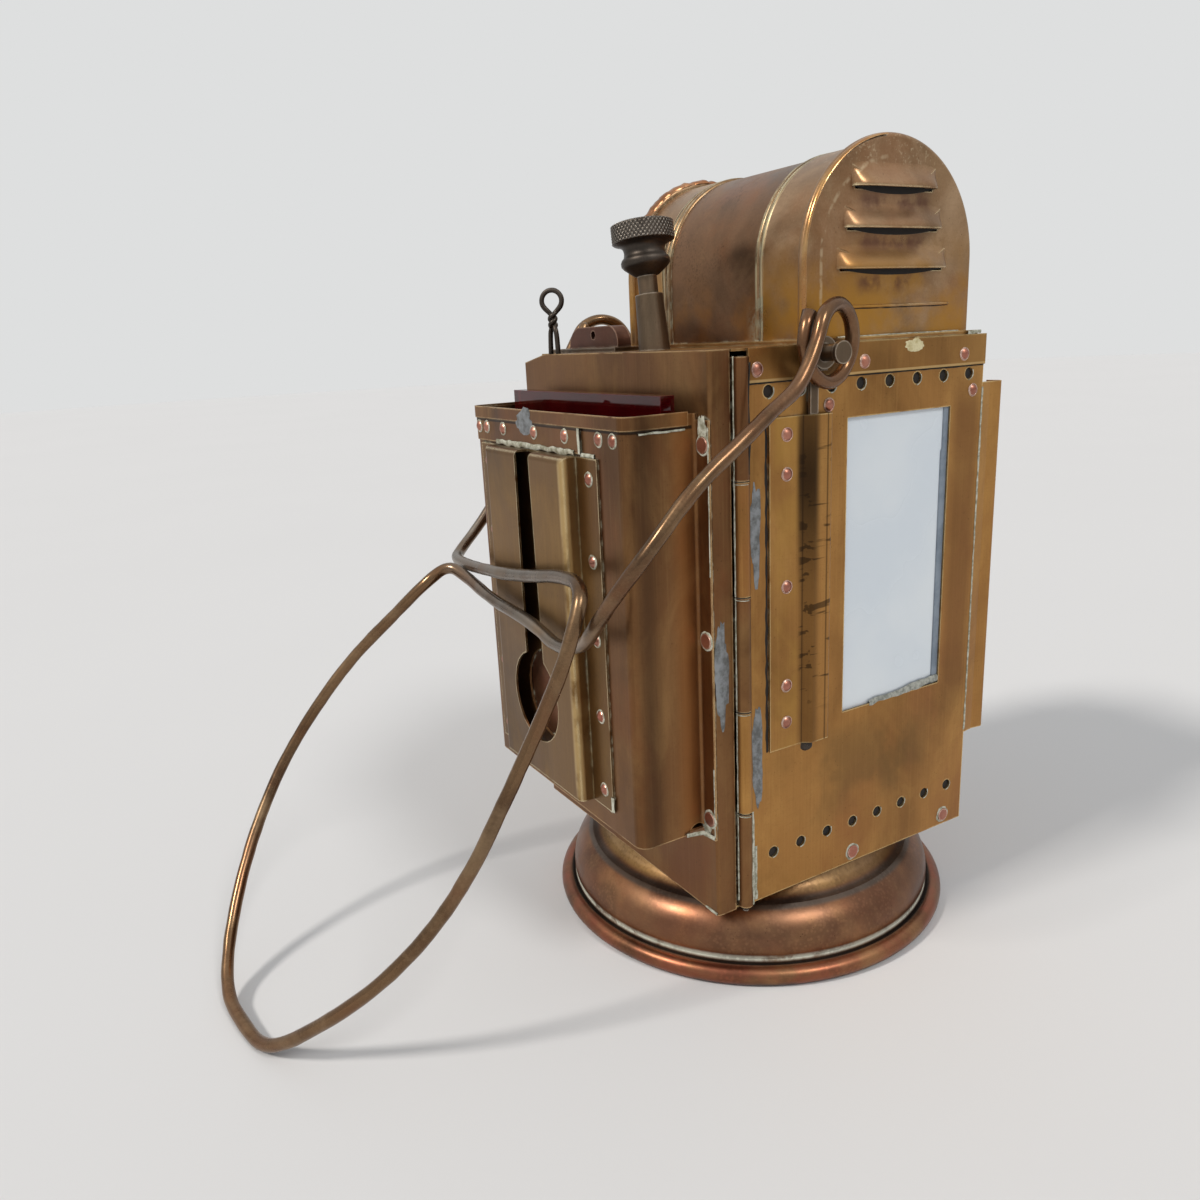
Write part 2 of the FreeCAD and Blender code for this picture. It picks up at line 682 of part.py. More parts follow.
def side_d():
    front = -BODY_FRONT + DOOR_DEPTH + DOOR_GAP
    half = SHEET / 2
    plan = [(-BODY_X + FRONT_FLANGE, front + half), (-BODY_X + half, front + half),
            (-BODY_X + half, BODY_BACK)]
    sheet = bent_sheet(plan, [CORNER_R], SHEET, BODY_BOTTOM + SHEET, BODY_TOP - SHEET)
    return sheet.cut(vent_holes(-BODY_X - OVERRUN, SHEET + 2 * OVERRUN))


def back_sheet():
    side = BODY_X - SHEET - SHEET / 2
    back = BODY_BACK - SHEET / 2
    plan = [(side, back - BACK_FLANGE), (side, back), (-side, back), (-side, back - BACK_FLANGE)]
    return bent_sheet(plan, [CORNER_R, CORNER_R], SHEET, BODY_BOTTOM + SHEET, BODY_TOP - SHEET)


def lid():
    front = -BODY_FRONT + DOOR_DEPTH + DOOR_GAP
    outer = BODY_X + SHEET
    back = BODY_BACK + SHEET
    plate = box(-BODY_X, BODY_X, front, BODY_BACK, BODY_TOP - SHEET, BODY_TOP)
    lip = box(-BODY_X + FRONT_FLANGE + OVERRUN, BODY_X - FRONT_FLANGE, front, front + SHEET,
              BODY_TOP - LID_LIP, BODY_TOP)
    shell = box(-outer, outer, SKIRT_FRONT, back, SKIRT_BOTTOM, BODY_TOP)
    corners = edges_at(shell, lambda e: abs(e.Vertexes[0].Y - back) < SHEET
                       and abs(e.Vertexes[1].Y - back) < SHEET
                       and abs(e.Vertexes[0].X - e.Vertexes[1].X) < SHEET)
    shell = shell.makeFillet(CORNER_R, corners)
    hollow = box(-BODY_X, BODY_X, SKIRT_FRONT - OVERRUN, BODY_BACK, SKIRT_BOTTOM - OVERRUN, BODY_TOP + OVERRUN)
    whole = fused([plate, lip, shell.cut(hollow)])
    flue = box(FLUE_X0, FLUE_X1, FLUE_Y0, FLUE_Y1, BODY_TOP - SHEET - OVERRUN, BODY_TOP + OVERRUN)
    rod_hole = leaning(rod(0, 0, -LID_LIP - OVERRUN, Z_AXIS, ROD_R + GAP, LID_LIP + 2 * OVERRUN))
    return whole.cut([flue, rod_hole])


# Ventilator hood
def arch_block(radius, x0, x1, z0):
    outline = [
        Part.LineSegment(V(x0, HOOD_Y - radius, z0), V(x0, HOOD_Y - radius, HOOD_CENTRE_Z)),
        Part.Arc(V(x0, HOOD_Y - radius, HOOD_CENTRE_Z), V(x0, HOOD_Y, HOOD_CENTRE_Z + radius),
                 V(x0, HOOD_Y + radius, HOOD_CENTRE_Z)),
        Part.LineSegment(V(x0, HOOD_Y + radius, HOOD_CENTRE_Z), V(x0, HOOD_Y + radius, z0)),
        Part.LineSegment(V(x0, HOOD_Y + radius, z0), V(x0, HOOD_Y - radius, z0)),
    ]
    face = Part.Face(Part.Wire([line.toShape() for line in outline]))
    return face.extrude(V(x1 - x0, 0, 0))


def arch_shell(radius, wall, x0, x1):
    base = BODY_TOP + HOOD_BASE_THICK
    hollow = arch_block(radius - wall, x0 - OVERRUN, x1 + OVERRUN, base - OVERRUN)
    return arch_block(radius, x0, x1, base).cut(hollow)


def arch_bead(x):
    band = arch_shell(HOOD_R + BEAD_RISE, BEAD_RISE + SHEET / 2, x - BEAD_R, x + BEAD_R)
    crown = [e for e in band.Edges if abs(e.BoundBox.ZMax - HOOD_CENTRE_Z - HOOD_R - BEAD_RISE) < BEAD_BEVEL
             or abs(e.BoundBox.YMin - HOOD_Y - HOOD_R - BEAD_RISE) < BEAD_BEVEL
             or abs(e.BoundBox.YMax - HOOD_Y + HOOD_R + BEAD_RISE) < BEAD_BEVEL]
    crown = [e for e in crown if abs(e.BoundBox.XMax - e.BoundBox.XMin) < BEAD_BEVEL]
    return band.makeChamfer(BEAD_BEVEL, crown)


def hood_base():
    inner = HOOD_R - SHEET
    outer = HOOD_R + HOOD_BASE_MARGIN
    plate = box(HOOD_X0 - HOOD_BASE_MARGIN, BODY_X, HOOD_Y - outer, HOOD_Y + outer,
                BODY_TOP, BODY_TOP + HOOD_BASE_THICK)
    opening = box(HOOD_X0 + SHEET, HOOD_X1 - SHEET, HOOD_Y - inner, HOOD_Y + inner,
                  BODY_TOP - OVERRUN, BODY_TOP + HOOD_BASE_THICK + OVERRUN)
    return plate.cut(opening)


def hood_vault():
    shell = arch_shell(HOOD_R, SHEET, HOOD_X0 + SHEET, HOOD_X1 - SHEET)
    beads = [arch_bead(x) for x in (BEAD_B_X - BEAD_SPACING, BEAD_D_X - BEAD_SPACING, BEAD_D_X)]
    return fused([shell] + beads)


def louvre(z, half_length, grow):
    proud = LOUVRE_PROUD - grow
    reach = half_length - grow
    height = LOUVRE_HEIGHT - grow
    face_x = HOOD_X1 - grow
    left = V(face_x, HOOD_Y - reach, z)
    right = V(face_x, HOOD_Y + reach, z)
    chord = Part.LineSegment(right, left).toShape()
    bow = Part.Arc(left, V(HOOD_X1 + proud, HOOD_Y, z), right).toShape()
    block = Part.Face(Part.Wire([chord, bow])).extrude(V(0, 0, height))
    slope = polygon([V(HOOD_X1 + proud, HOOD_Y - reach, z + SHEET),
                     V(HOOD_X1 + proud + OVERRUN, HOOD_Y - reach, z + SHEET),
                     V(HOOD_X1 + proud + OVERRUN, HOOD_Y - reach, z + height + OVERRUN),
                     V(face_x - SHEET, HOOD_Y - reach, z + height + OVERRUN),
                     V(face_x, HOOD_Y - reach, z + height)], V(0, 2 * reach, 0))
    return block.cut(slope)


def hood_cap(outer_x, inner_x, louvred):
    low = min(outer_x, inner_x)
    high = max(outer_x, inner_x)
    way = math.copysign(1, outer_x - inner_x)
    rim_inner = outer_x - way * CAP_RIM_WIDTH
    skirt_end = outer_x - way * CAP_SKIRT_WIDTH - way * CAP_RIM_WIDTH
    sleeve = HOOD_R + CAP_FIT
    rim = arch_block(CAP_RIM_R, min(outer_x, rim_inner), max(outer_x, rim_inner), BODY_TOP + HOOD_BASE_THICK)
    rounded = [e for e in rim.Edges if isinstance(e.Curve, Part.Circle)]
    rim = rim.makeFillet(CAP_RIM_WIDTH / 2 - CAP_FIT, rounded)
    skirt = arch_block(HOOD_R + SHEET, min(skirt_end, rim_inner), max(skirt_end, rim_inner),
                       BODY_TOP + HOOD_BASE_THICK)
    plate_inner = outer_x - way * SHEET
    hollow = arch_block(sleeve, min(plate_inner, skirt_end - way * OVERRUN),
                        max(plate_inner, skirt_end - way * OVERRUN), BODY_TOP)
    whole = fused([rim, skirt]).cut(hollow)
    if louvred:
        for index in range(LOUVRE_COUNT):
            z = LOUVRE_Z + LOUVRE_PITCH * index
            half_length = LOUVRE_HALF - LOUVRE_NARROWING * index
            inside = louvre(z - SHEET, half_length, LOUVRE_SKIN)
            slot = box(HOOD_X1 - 2 * SHEET, HOOD_X1 + CAP_FIT, HOOD_Y - half_length + 2 * LOUVRE_SKIN,
                       HOOD_Y + half_length - 2 * LOUVRE_SKIN, z - SHEET, z + LOUVRE_HEIGHT / 2)
            whole = whole.fuse(louvre(z, half_length, 0)).cut([inside, slot])
    return whole


def baffle():
    top = BAFFLE_TOP - SHEET / 2
    left = BAFFLE_X - BAFFLE_HALF_X
    right = BAFFLE_X + BAFFLE_HALF_X
    plan = [(left, BODY_TOP), (left, top), (right, top), (right, BODY_TOP)]
    sheet = bent_sheet(plan, [BAFFLE_BEND, BAFFLE_BEND], SHEET, -BAFFLE_HALF_Y, BAFFLE_HALF_Y)
    sheet.rotate(V(0, 0, 0), X_AXIS, 90)
    sheet.translate(V(0, HOOD_Y, 0))
    return sheet


# Opal window
def opal_window():
    outer = BODY_X - SHEET - GAP
    return box(outer - OPAL_THICK, outer, WINDOW_Y0 - WINDOW_LAP, WINDOW_Y1 + WINDOW_LAP,
               WINDOW_Z0 - WINDOW_LAP, WINDOW_Z1 + WINDOW_LAP)


def window_frame():
    outer = BODY_X - SHEET
    inner = outer - GAP - OPAL_THICK - GAP
    lap = WINDOW_LAP + FRAME_LIP
    frame = box(inner - FRAME_BACK, outer, WINDOW_Y0 - lap, WINDOW_Y1 + lap, WINDOW_Z0 - lap, WINDOW_Z1 + lap)
    seat = WINDOW_LAP + GAP
    pocket = box(inner, outer + OVERRUN, WINDOW_Y0 - seat, WINDOW_Y1 + seat, WINDOW_Z0 - seat, WINDOW_Z1 + seat)
    light = box(inner - FRAME_BACK - OVERRUN, outer, WINDOW_Y0, WINDOW_Y1, WINDOW_Z0, WINDOW_Z1)
    return frame.cut([pocket, light])


# Straps, bail lugs and rear rails
def strap():
    low = BODY_X + SHEET / 2
    high = BODY_X + STRAP_PROUD - SHEET / 2
    plan = [(low, STRAP_Y0), (low, STRAP_FOLD_Y), (high, STRAP_RIDGE_Y), (high, STRAP_RIDGE_END_Y),
            (low, STRAP_Y1)]
    return bent_sheet(plan, [STRAP_BEND, STRAP_BEND, STRAP_BEND], SHEET, STRAP_Z0, STRAP_Z1)


def bail_lug():
    skin = BODY_X + SHEET
    block = box(skin, skin + LUG_BLOCK_THICK, PIN_Y - LUG_BLOCK_Y, PIN_Y + LUG_BLOCK_Y, LUG_BLOCK_Z0, PIN_Z)
    crown = rod(skin, PIN_Y, PIN_Z, X_AXIS, LUG_BLOCK_Y, LUG_BLOCK_THICK)
    bar = box(skin, skin + LUG_BAR_THICK, PIN_Y - LUG_BAR_Y, PIN_Y + LUG_BAR_Y, STRAP_Z1, LUG_BLOCK_Z0 + SHEET)
    pin = rod(skin, PIN_Y, PIN_Z, X_AXIS, PIN_R, PIN_END_X - PIN_HEAD_LENGTH - skin)
    head = rod(PIN_END_X - PIN_HEAD_LENGTH, PIN_Y, PIN_Z, X_AXIS, PIN_HEAD_R, PIN_HEAD_LENGTH)
    return fused([block, crown, bar, pin, head])


def bail_washer():
    disc = rod(WASHER_X, PIN_Y, PIN_Z, X_AXIS, WASHER_R, WASHER_THICK)
    return disc.cut(rod(WASHER_X - OVERRUN, PIN_Y, PIN_Z, X_AXIS, PIN_R + RUNNING, WASHER_THICK + 2 * OVERRUN))


def rail():
    half = SHEET / 2
    near = BODY_BACK + half
    web = RAIL_X - half
    far = BODY_BACK + RAIL_DEPTH - half
    middle = (near + far) / 2
    plan = [(web - RAIL_LAP, near), (web, near), (web - RAIL_CREASE, middle), (web, far), (web - RAIL_LIP, far)]
    return bent_sheet(plan, [CORNER_R, CORNER_R, CORNER_R], SHEET, RAIL_Z0, RAIL_Z1)


# Hinge: one leaf of knuckles for the case, one for the door
def knuckles(first):
    barrels = []
    for index in range(first, len(KNUCKLE_Z) - 1, 2):
        low = KNUCKLE_Z[index] + GAP / 2
        high = KNUCKLE_Z[index + 1] - GAP / 2
        barrels.append((low, high))
    return barrels


def hinge_leaf(first, leaf_y, way):
    inner = HINGE_X - KNUCKLE_R
    outer = BODY_X - SHEET
    shapes = []
    far = leaf_y + way * HINGE_LEAF
    shapes.append(box(inner, outer, min(leaf_y, far), max(leaf_y, far), KNUCKLE_Z[0], KNUCKLE_Z[-1]))
    for low, high in knuckles(first):
        shapes.append(rod(HINGE_X, HINGE_Y, low, Z_AXIS, KNUCKLE_R, high - low))
        near = min(HINGE_Y, leaf_y)
        shapes.append(box(inner, outer, near, max(HINGE_Y, leaf_y), low, high))
    bore = rod(HINGE_X, HINGE_Y, BODY_BOTTOM - OVERRUN, Z_AXIS, HINGE_PIN_R + RUNNING, BODY_TOP)
    return fused(shapes).cut(bore)


def hinge_leaf_case():
    return hinge_leaf(1, SIDE_B_FRONT, 1)


def hinge_leaf_door():
    return hinge_leaf(0, -BODY_FRONT + DOOR_DEPTH, -1).common(
        box(HINGE_X - 2 * KNUCKLE_R, HINGE_X + 2 * KNUCKLE_R, -BODY_FRONT + SHEET, HINGE_Y + 2 * KNUCKLE_R,
            BODY_BOTTOM, BODY_TOP))


def hinge_pin():
    return rod(HINGE_X, HINGE_Y, KNUCKLE_Z[0] - HINGE_PIN_TAIL, Z_AXIS, HINGE_PIN_R,
               KNUCKLE_Z[-1] - KNUCKLE_Z[0] + HINGE_PIN_TAIL)


# Hinged front: a shallow tray whose top left corner is cut down
def front_outline(inset, y0, y1):
    left = -BODY_X + inset
    right = BODY_X - inset
    low = BODY_BOTTOM + inset
    high = BODY_TOP - inset
    points = [V(left, y0, low), V(right, y0, low), V(right, y0, high), V(FRONT_TOP_FLAT_X, y0, high),
              V(left, y0, high - FRONT_CORNER_DROP)]
    return polygon(points, V(0, y1 - y0, 0))


def door_panel():
    pivot_x = shutter_pivot_x()
    face = -BODY_FRONT
    tray = front_outline(0, face, face + DOOR_DEPTH)
    upright = edges_at(tray, lambda e: abs(e.Vertexes[0].Y - face) < GAP and abs(e.Vertexes[1].Y - face) < GAP
                       and abs(e.Vertexes[0].X - e.Vertexes[1].X) < GAP)
    tray = tray.makeFillet(CORNER_R, upright)
    hollow = front_outline(SHEET, face + SHEET, face + DOOR_DEPTH + OVERRUN)
    beam = rod(BEAM_X, face - OVERRUN, BEAM_Z, Y_AXIS, BEAM_R, SHEET + 2 * OVERRUN)
    shaft = rod(pivot_x, face - OVERRUN, SHUTTER_PIVOT_Z, Y_AXIS, SHUTTER_BOSS_R, SHEET + 2 * OVERRUN)
    pull = box(PULL_X - PULL_SPREAD - 2 * PULL_WIRE_R, PULL_X + PULL_SPREAD + 2 * PULL_WIRE_R,
               face + SHEET, PULL_Y + 2 * PULL_WIRE_R, BODY_TOP - 4 * SHEET, BODY_TOP + OVERRUN)
    notch = box(FRONT_NOTCH_X - FRONT_NOTCH_WIDTH / 2, FRONT_NOTCH_X + FRONT_NOTCH_WIDTH / 2,
                face + 2 * SHEET, face + DOOR_DEPTH + OVERRUN, BODY_TOP - 2 * SHEET, BODY_TOP + OVERRUN)
    return tray.cut([hollow, beam, shaft, pull, notch])


# Front box, its rim band and the strip across its front
def box_plan(shift):
    half = SHEET / 2 - shift
    face = -BODY_FRONT - SHEET / 2
    side = BOX_HALF_X - half
    front = BOX_Y + half
    return [(BODY_X, face), (side, face), (side, front), (-side, front), (-side, face), (-BODY_X, face)]


def front_box():
    radii = [BOX_FLARE_R, BOX_CORNER_R, BOX_CORNER_R, BOX_FLARE_R]
    wall = bent_sheet(box_plan(0), radii, SHEET, BOX_FLANGE_Z0, BOX_Z1)
    inner = BOX_HALF_X
    under = box(-inner, inner, BOX_Y - OVERRUN, -BODY_FRONT - BOX_FLARE_R, BOX_FLANGE_Z0 - OVERRUN, BOX_Z0)
    over = box(inner + SHEET / 2, BODY_X + OVERRUN, BOX_Y, -BODY_FRONT + OVERRUN, BOX_FLANGE_Z1, BOX_Z1 + OVERRUN)
    floor = box(-inner + SHEET, inner - SHEET, BOX_Y + SHEET, -BODY_FRONT, BOX_Z0, BOX_Z0 + SHEET)
    for side in (1, -1):
        corner = rod(side * (inner - SHEET - BOX_CORNER_R), BOX_Y + SHEET + BOX_CORNER_R, BOX_Z0, Z_AXIS,
                     BOX_CORNER_R, SHEET)
        square = box(-BOX_CORNER_R, BOX_CORNER_R, -BOX_CORNER_R, BOX_CORNER_R, BOX_Z0, BOX_Z0 + SHEET)
        square.translate(V(side * (inner - SHEET), BOX_Y + SHEET, 0))
        floor = floor.cut(square.cut(corner))
    hole = rod(BEAM_X, BOX_Y - OVERRUN, BEAM_Z, Y_AXIS, KEYHOLE_R, SHEET + 2 * OVERRUN)
    reliefs = [rod(side * (inner - 2 * SHEET), -BODY_FRONT - BOX_RELIEF_R, BOX_Z0, X_AXIS * side, BOX_RELIEF_R,
                   BOX_RELIEF_R) for side in (1, -1)]
    return fused([wall.cut([under, over, mirrored_x(over)]), floor]).cut([hole] + reliefs)


def box_rim():
    side = BOX_HALF_X + SHEET / 2
    front = BOX_Y - SHEET / 2
    plan = [(side, RIM_END_Y), (side, front), (-side, front), (-side, RIM_END_Y)]
    return bent_sheet(plan, [BOX_CORNER_R, BOX_CORNER_R], SHEET, RIM_Z0, RIM_Z1)


def top_strip():
    return box(-BOX_HALF_X + BOX_CORNER_R, STRIP_X1, BOX_Y - SHEET, BOX_Y, STRIP_Z0, RIM_Z0)


def hat_panel():
    back = BOX_Y
    block = box(HAT_X0, HAT_X1, HAT_Y, back, HAT_Z0, HAT_Z1)
    shoulders = edges_at(block, lambda e: abs(e.Vertexes[0].Y - HAT_Y) < GAP and abs(e.Vertexes[1].Y - HAT_Y) < GAP
                         and (e.Vertexes[0].Z + e.Vertexes[1].Z) / 2 > HAT_Z0 + GAP)
    block = block.makeFillet(HAT_SHOULDER_R, shoulders)
    hollow = box(HAT_X0 + SHEET, HAT_X1 - SHEET, HAT_Y + SHEET, back + OVERRUN, HAT_Z0 - OVERRUN, HAT_Z1 - SHEET)
    left = box(HAT_X0 - HAT_FLANGE, HAT_X0 + SHEET, back - SHEET, back, HAT_Z0, HAT_Z1)
    right = box(HAT_X1 - SHEET, HAT_X1 + HAT_FLANGE, back - SHEET, back, HAT_Z0, HAT_Z1)
    top = SLOT_TOP_WIDTH / 2
    low = SLOT_LOW_WIDTH / 2
    slot = polygon([V(SLOT_X - low, HAT_Y - OVERRUN, BEAM_Z), V(SLOT_X + low, HAT_Y - OVERRUN, BEAM_Z),
                    V(SLOT_X + top, HAT_Y - OVERRUN, HAT_Z1 + OVERRUN),
                    V(SLOT_X - top, HAT_Y - OVERRUN, HAT_Z1 + OVERRUN)],
                   V(0, back - HAT_Y + OVERRUN - SHEET, 0))
    hole = rod(BEAM_X, HAT_Y - OVERRUN, BEAM_Z, Y_AXIS, KEYHOLE_R, 2 * OVERRUN)
    return fused([block.cut(hollow), left, right]).cut([slot, hole])


# Rivets
def case_dome_rivets():
    out = BODY_X + SHEET
    heads = [dome_rivet(V(out, y, SKIRT_RIVET_Z), X_AXIS) for y in SKIRT_RIVET_Y]
    side_z = BODY_TOP - SIDE_DOME_RIVET_DROP
    heads += [dome_rivet(V(BODY_X, y, side_z), X_AXIS) for y in SIDE_DOME_RIVET_Y]
    for share in STRAP_RIVET_SHARES:
        z = STRAP_Z0 + (STRAP_Z1 - STRAP_Z0) * share
        heads.append(dome_rivet(V(out, STRAP_RIVET_Y, z), X_AXIS))
    heads += [mirrored_x(head) for head in heads]
    back = BODY_BACK + SHEET
    heads += [dome_rivet(V(x, back, SKIRT_RIVET_Z), Y_AXIS) for x in SKIRT_RIVET_Y]
    return heads


def case_flat_rivets():
    z = BODY_BOTTOM + SIDE_FLAT_RIVET_RISE
    heads = [flat_rivet(V(BODY_X, y, z), X_AXIS) for y in SIDE_FLAT_RIVET_Y]
    heads += [mirrored_x(head) for head in heads]
    corner = SIDE_FLAT_RIVET_Y[1]
    heads += [flat_rivet(V(side * corner, BODY_BACK, z), Y_AXIS) for side in (1, -1)]
    return heads


def door_dome_rivets():
    skin = BOX_Y - SHEET
    heads = []
    for share in BOX_FRONT_RIVET_SHARES:
        x = BOX_HALF_X * share
        on_strip = -BOX_HALF_X + BOX_CORNER_R < x < STRIP_X1
        heads.append(dome_rivet(V(x, skin if on_strip else BOX_Y, BOX_FRONT_RIVET_Z), -Y_AXIS))
    inset = HAT_FLANGE - HAT_RIVET_INSET + DOME_R + SHEET
    for share in HAT_RIVET_SHARES:
        z = HAT_Z0 + (HAT_Z1 - HAT_Z0) * share
        heads.append(dome_rivet(V(HAT_X1 + inset, skin, z), -Y_AXIS))
        heads.append(dome_rivet(V(HAT_X0 - inset, skin, z), -Y_AXIS))
    return heads


def door_flat_rivets():
    skin = -BODY_FRONT - SHEET
    heads = []
    for share in FLANGE_RIVET_SHARES:
        z = BOX_FLANGE_Z0 + (BOX_FLANGE_Z1 - BOX_FLANGE_Z0) * share
        heads += [flat_rivet(V(side * FLANGE_RIVET_X, skin, z), -Y_AXIS) for side in (1, -1)]
    return heads


# Red glass in its channels
def red_glass():
    return box(-GLASS_HALF_X, GLASS_HALF_X, GLASS_Y0, GLASS_Y1, GLASS_Z0, GLASS_Z1)


def glass_guide():
    wall_x = BOX_HALF_X - SHEET
    lip_x = GLASS_HALF_X - GUIDE_LAP
    y0 = GLASS_Y0 - GAP
    y1 = GLASS_Y1 + GAP
    channel = box(lip_x, wall_x, y0 - GUIDE_WALL, y1 + GUIDE_WALL, GLASS_Z0 - GAP - GUIDE_WALL, GUIDE_Z1)
    return channel.cut(box(lip_x - OVERRUN, GLASS_HALF_X + GAP, y0, y1, GLASS_Z0 - GAP, GUIDE_Z1 + OVERRUN))


# Shutter disc on its arm, shaft and crank
def shutter_disc():
    pivot_x = shutter_pivot_x()
    back = BOX_Y + SHEET + GAP
    pivot = V(pivot_x, back, SHUTTER_PIVOT_Z)
    centre = V(BEAM_X, back, BEAM_Z)
    disc = rod(centre.x, back, centre.z, Y_AXIS, SHUTTER_R, SHEET)
    rim = rod(centre.x, back + SHEET, centre.z, Y_AXIS, SHUTTER_R, SHEET).cut(
        rod(centre.x, back, centre.z, Y_AXIS, SHUTTER_R - SHUTTER_RIM, 2 * SHEET + OVERRUN))
    run = (pivot - centre).normalize()
    side = run.cross(Y_AXIS) * (SHUTTER_ARM / 2)
    start = centre + run * (SHUTTER_R - SHUTTER_RIM)
    thin = side * SHUTTER_TAPER_SHARE
    arm = polygon([start + side, pivot + thin, pivot - thin, start - side], V(0, SHEET, 0))
    boss = rod(pivot.x, back, pivot.z, Y_AXIS, SHUTTER_BOSS_R, 2 * SHEET)
    bore = rod(pivot.x, back - OVERRUN, pivot.z, Y_AXIS, SHUTTER_SHAFT_R, 2 * SHEET + 2 * OVERRUN)
    return fused([disc, rim, arm, boss]).cut(bore)


def shutter_shaft():
    pivot_x = shutter_pivot_x()
    front = BOX_Y + SHEET + GAP
    rear = PLUNGER_Y + CRANK_THICK / 2
    shaft = rod(pivot_x, front, SHUTTER_PIVOT_Z, Y_AXIS, SHUTTER_SHAFT_R, rear - front)
    reach, tip_z = crank_tip()
    tip_x = pivot_x + reach
    crank_y = rear - CRANK_THICK
    hub = rod(pivot_x, crank_y, SHUTTER_PIVOT_Z, Y_AXIS, SHUTTER_BOSS_R, CRANK_THICK)
    pad = rod(tip_x, crank_y, tip_z, Y_AXIS, CRANK_PAD_R, CRANK_THICK)
    web = box(0, CRANK_R, crank_y, rear, -CRANK_WEB_HALF, CRANK_WEB_HALF)
    web.rotate(V(0, 0, 0), Y_AXIS, -CRANK_REST_DEG)
    web.translate(V(pivot_x, 0, SHUTTER_PIVOT_Z))
    return fused([shaft, hub, pad, web])


def shutter_bearings():
    pivot_x = shutter_pivot_x()
    bore_r = SHUTTER_SHAFT_R + RUNNING
    low = BOX_Z0 + SHEET
    stand = box(pivot_x - BEARING_R, pivot_x + BEARING_R, BEARING_Y, BEARING_Y + BEARING_THICK,
                low, SHUTTER_PIVOT_Z)
    crown = rod(pivot_x, BEARING_Y, SHUTTER_PIVOT_Z, Y_AXIS, BEARING_R, BEARING_THICK)
    bush_y = -BODY_FRONT - BEARING_THICK
    bush = rod(pivot_x, bush_y, SHUTTER_PIVOT_Z, Y_AXIS, SHUTTER_BOSS_R, SHEET + 2 * BEARING_THICK)
    bore = rod(pivot_x, BOX_Y, SHUTTER_PIVOT_Z, Y_AXIS, bore_r, -BOX_Y)
    return [stand.fuse(crown).cut(bore), bush.cut(bore)]


# Dark slide behind the front sheet, with its wire pull
def slide_y0():
    return -BODY_FRONT + SHEET + GAP


def slide_top():
    return BODY_TOP - SHEET - SLIDE_TOP_ROOM - SLIDE_LIFT


def dark_slide():
    y0 = slide_y0()
    return box(SLIDE_X0, SLIDE_X1, y0, y0 + SHEET, SLIDE_Z0, slide_top())


def slide_guides():
    face = -BODY_FRONT + SHEET
    back = slide_y0() + SHEET + GAP
    x0 = SLIDE_X0 - GAP
    x1 = SLIDE_X1 + GAP
    low = SLIDE_Z0 - GAP
    high = slide_top()
    strips = [box(x0 - GUIDE_STRIP, x0, face, back, low - GUIDE_STRIP, high),
              box(x1, x1 + GUIDE_STRIP, face, back, low - GUIDE_STRIP, high),
              box(x0 - GUIDE_STRIP, x1 + GUIDE_STRIP, face, back, low - GUIDE_STRIP, low)]
    keeper_top = BEAM_Z + LENS_R + LENS_RING_WALL + GUIDE_STRIP
    keeper = box(x0 - GUIDE_STRIP, x1 + GUIDE_STRIP, back, back + SHEET, low - GUIDE_STRIP, keeper_top)
    lips = [box(x0 - GUIDE_STRIP, x0 + GUIDE_STRIP, back, back + SHEET, low - GUIDE_STRIP, high),
            box(x1 - GUIDE_STRIP, x1 + GUIDE_STRIP, back, back + SHEET, low - GUIDE_STRIP, high)]
    beam = rod(BEAM_X, face - OVERRUN, BEAM_Z, Y_AXIS, BEAM_R, back - face + 2 * OVERRUN)
    return fused(strips + [keeper] + lips).cut(beam)


def wire_pull():
    plate_back = slide_y0() + SHEET
    foot_z = slide_top()
    shapes = []
    for side in (-1, 1):
        x = PULL_X + side * PULL_SPREAD
        leg_y = plate_back + PULL_WIRE_R + 2 * RUNNING
        leg = [V(x, leg_y, foot_z - PULL_FOOT), V(x, leg_y, foot_z + GAP),
               V(x, PULL_Y, foot_z + PULL_FOOT), V(x, PULL_Y, BODY_TOP + PULL_NECK_RISE),
               V(PULL_X, PULL_Y, PULL_TWIST_Z + PULL_WIRE_R)]
        radii = [PULL_SPREAD, PULL_SPREAD, PULL_SPREAD]
        shapes.append(wire_tube(leg, radii, PULL_WIRE_R, PULL_SIDES))
    eye = Part.makeTorus(PULL_EYE_R, PULL_WIRE_R, V(0, 0, 0), Y_AXIS)
    eye.rotate(V(0, 0, 0), Z_AXIS, PULL_EYE_TURN_DEG)
    eye.translate(V(PULL_X, PULL_Y, PULL_EYE_Z))
    knot = Part.makeSphere(2 * PULL_WIRE_R, V(PULL_X, PULL_Y, PULL_TWIST_Z + PULL_WIRE_R))
    return fused(shapes + [eye, knot])


# Bullseye lens
def lens_ring():
    face = slide_y0() + SHEET + GAP + SHEET
    outer = rod(BEAM_X, face, BEAM_Z, Y_AXIS, LENS_R + LENS_RING_WALL, LENS_RING_DEPTH)
    bore = rod(BEAM_X, face + LENS_STOP, BEAM_Z, Y_AXIS, LENS_R + RUNNING, LENS_RING_DEPTH)
    light = rod(BEAM_X, face - OVERRUN, BEAM_Z, Y_AXIS, BEAM_R, LENS_RING_DEPTH)
    return outer.cut([bore, light])


def lens():
    face = slide_y0() + SHEET + GAP + SHEET + LENS_STOP
    ball = (LENS_R ** 2 + LENS_BULGE ** 2) / (2 * LENS_BULGE)
    disc = rod(BEAM_X, face, BEAM_Z, Y_AXIS, LENS_R, LENS_EDGE)
    sink = ball - LENS_BULGE
    low = math.degrees(math.asin(sink / ball))
    cap = Part.makeSphere(ball, V(BEAM_X, face + LENS_EDGE - sink, BEAM_Z), Y_AXIS, low, 90, 360)
    return fused([disc, cap])


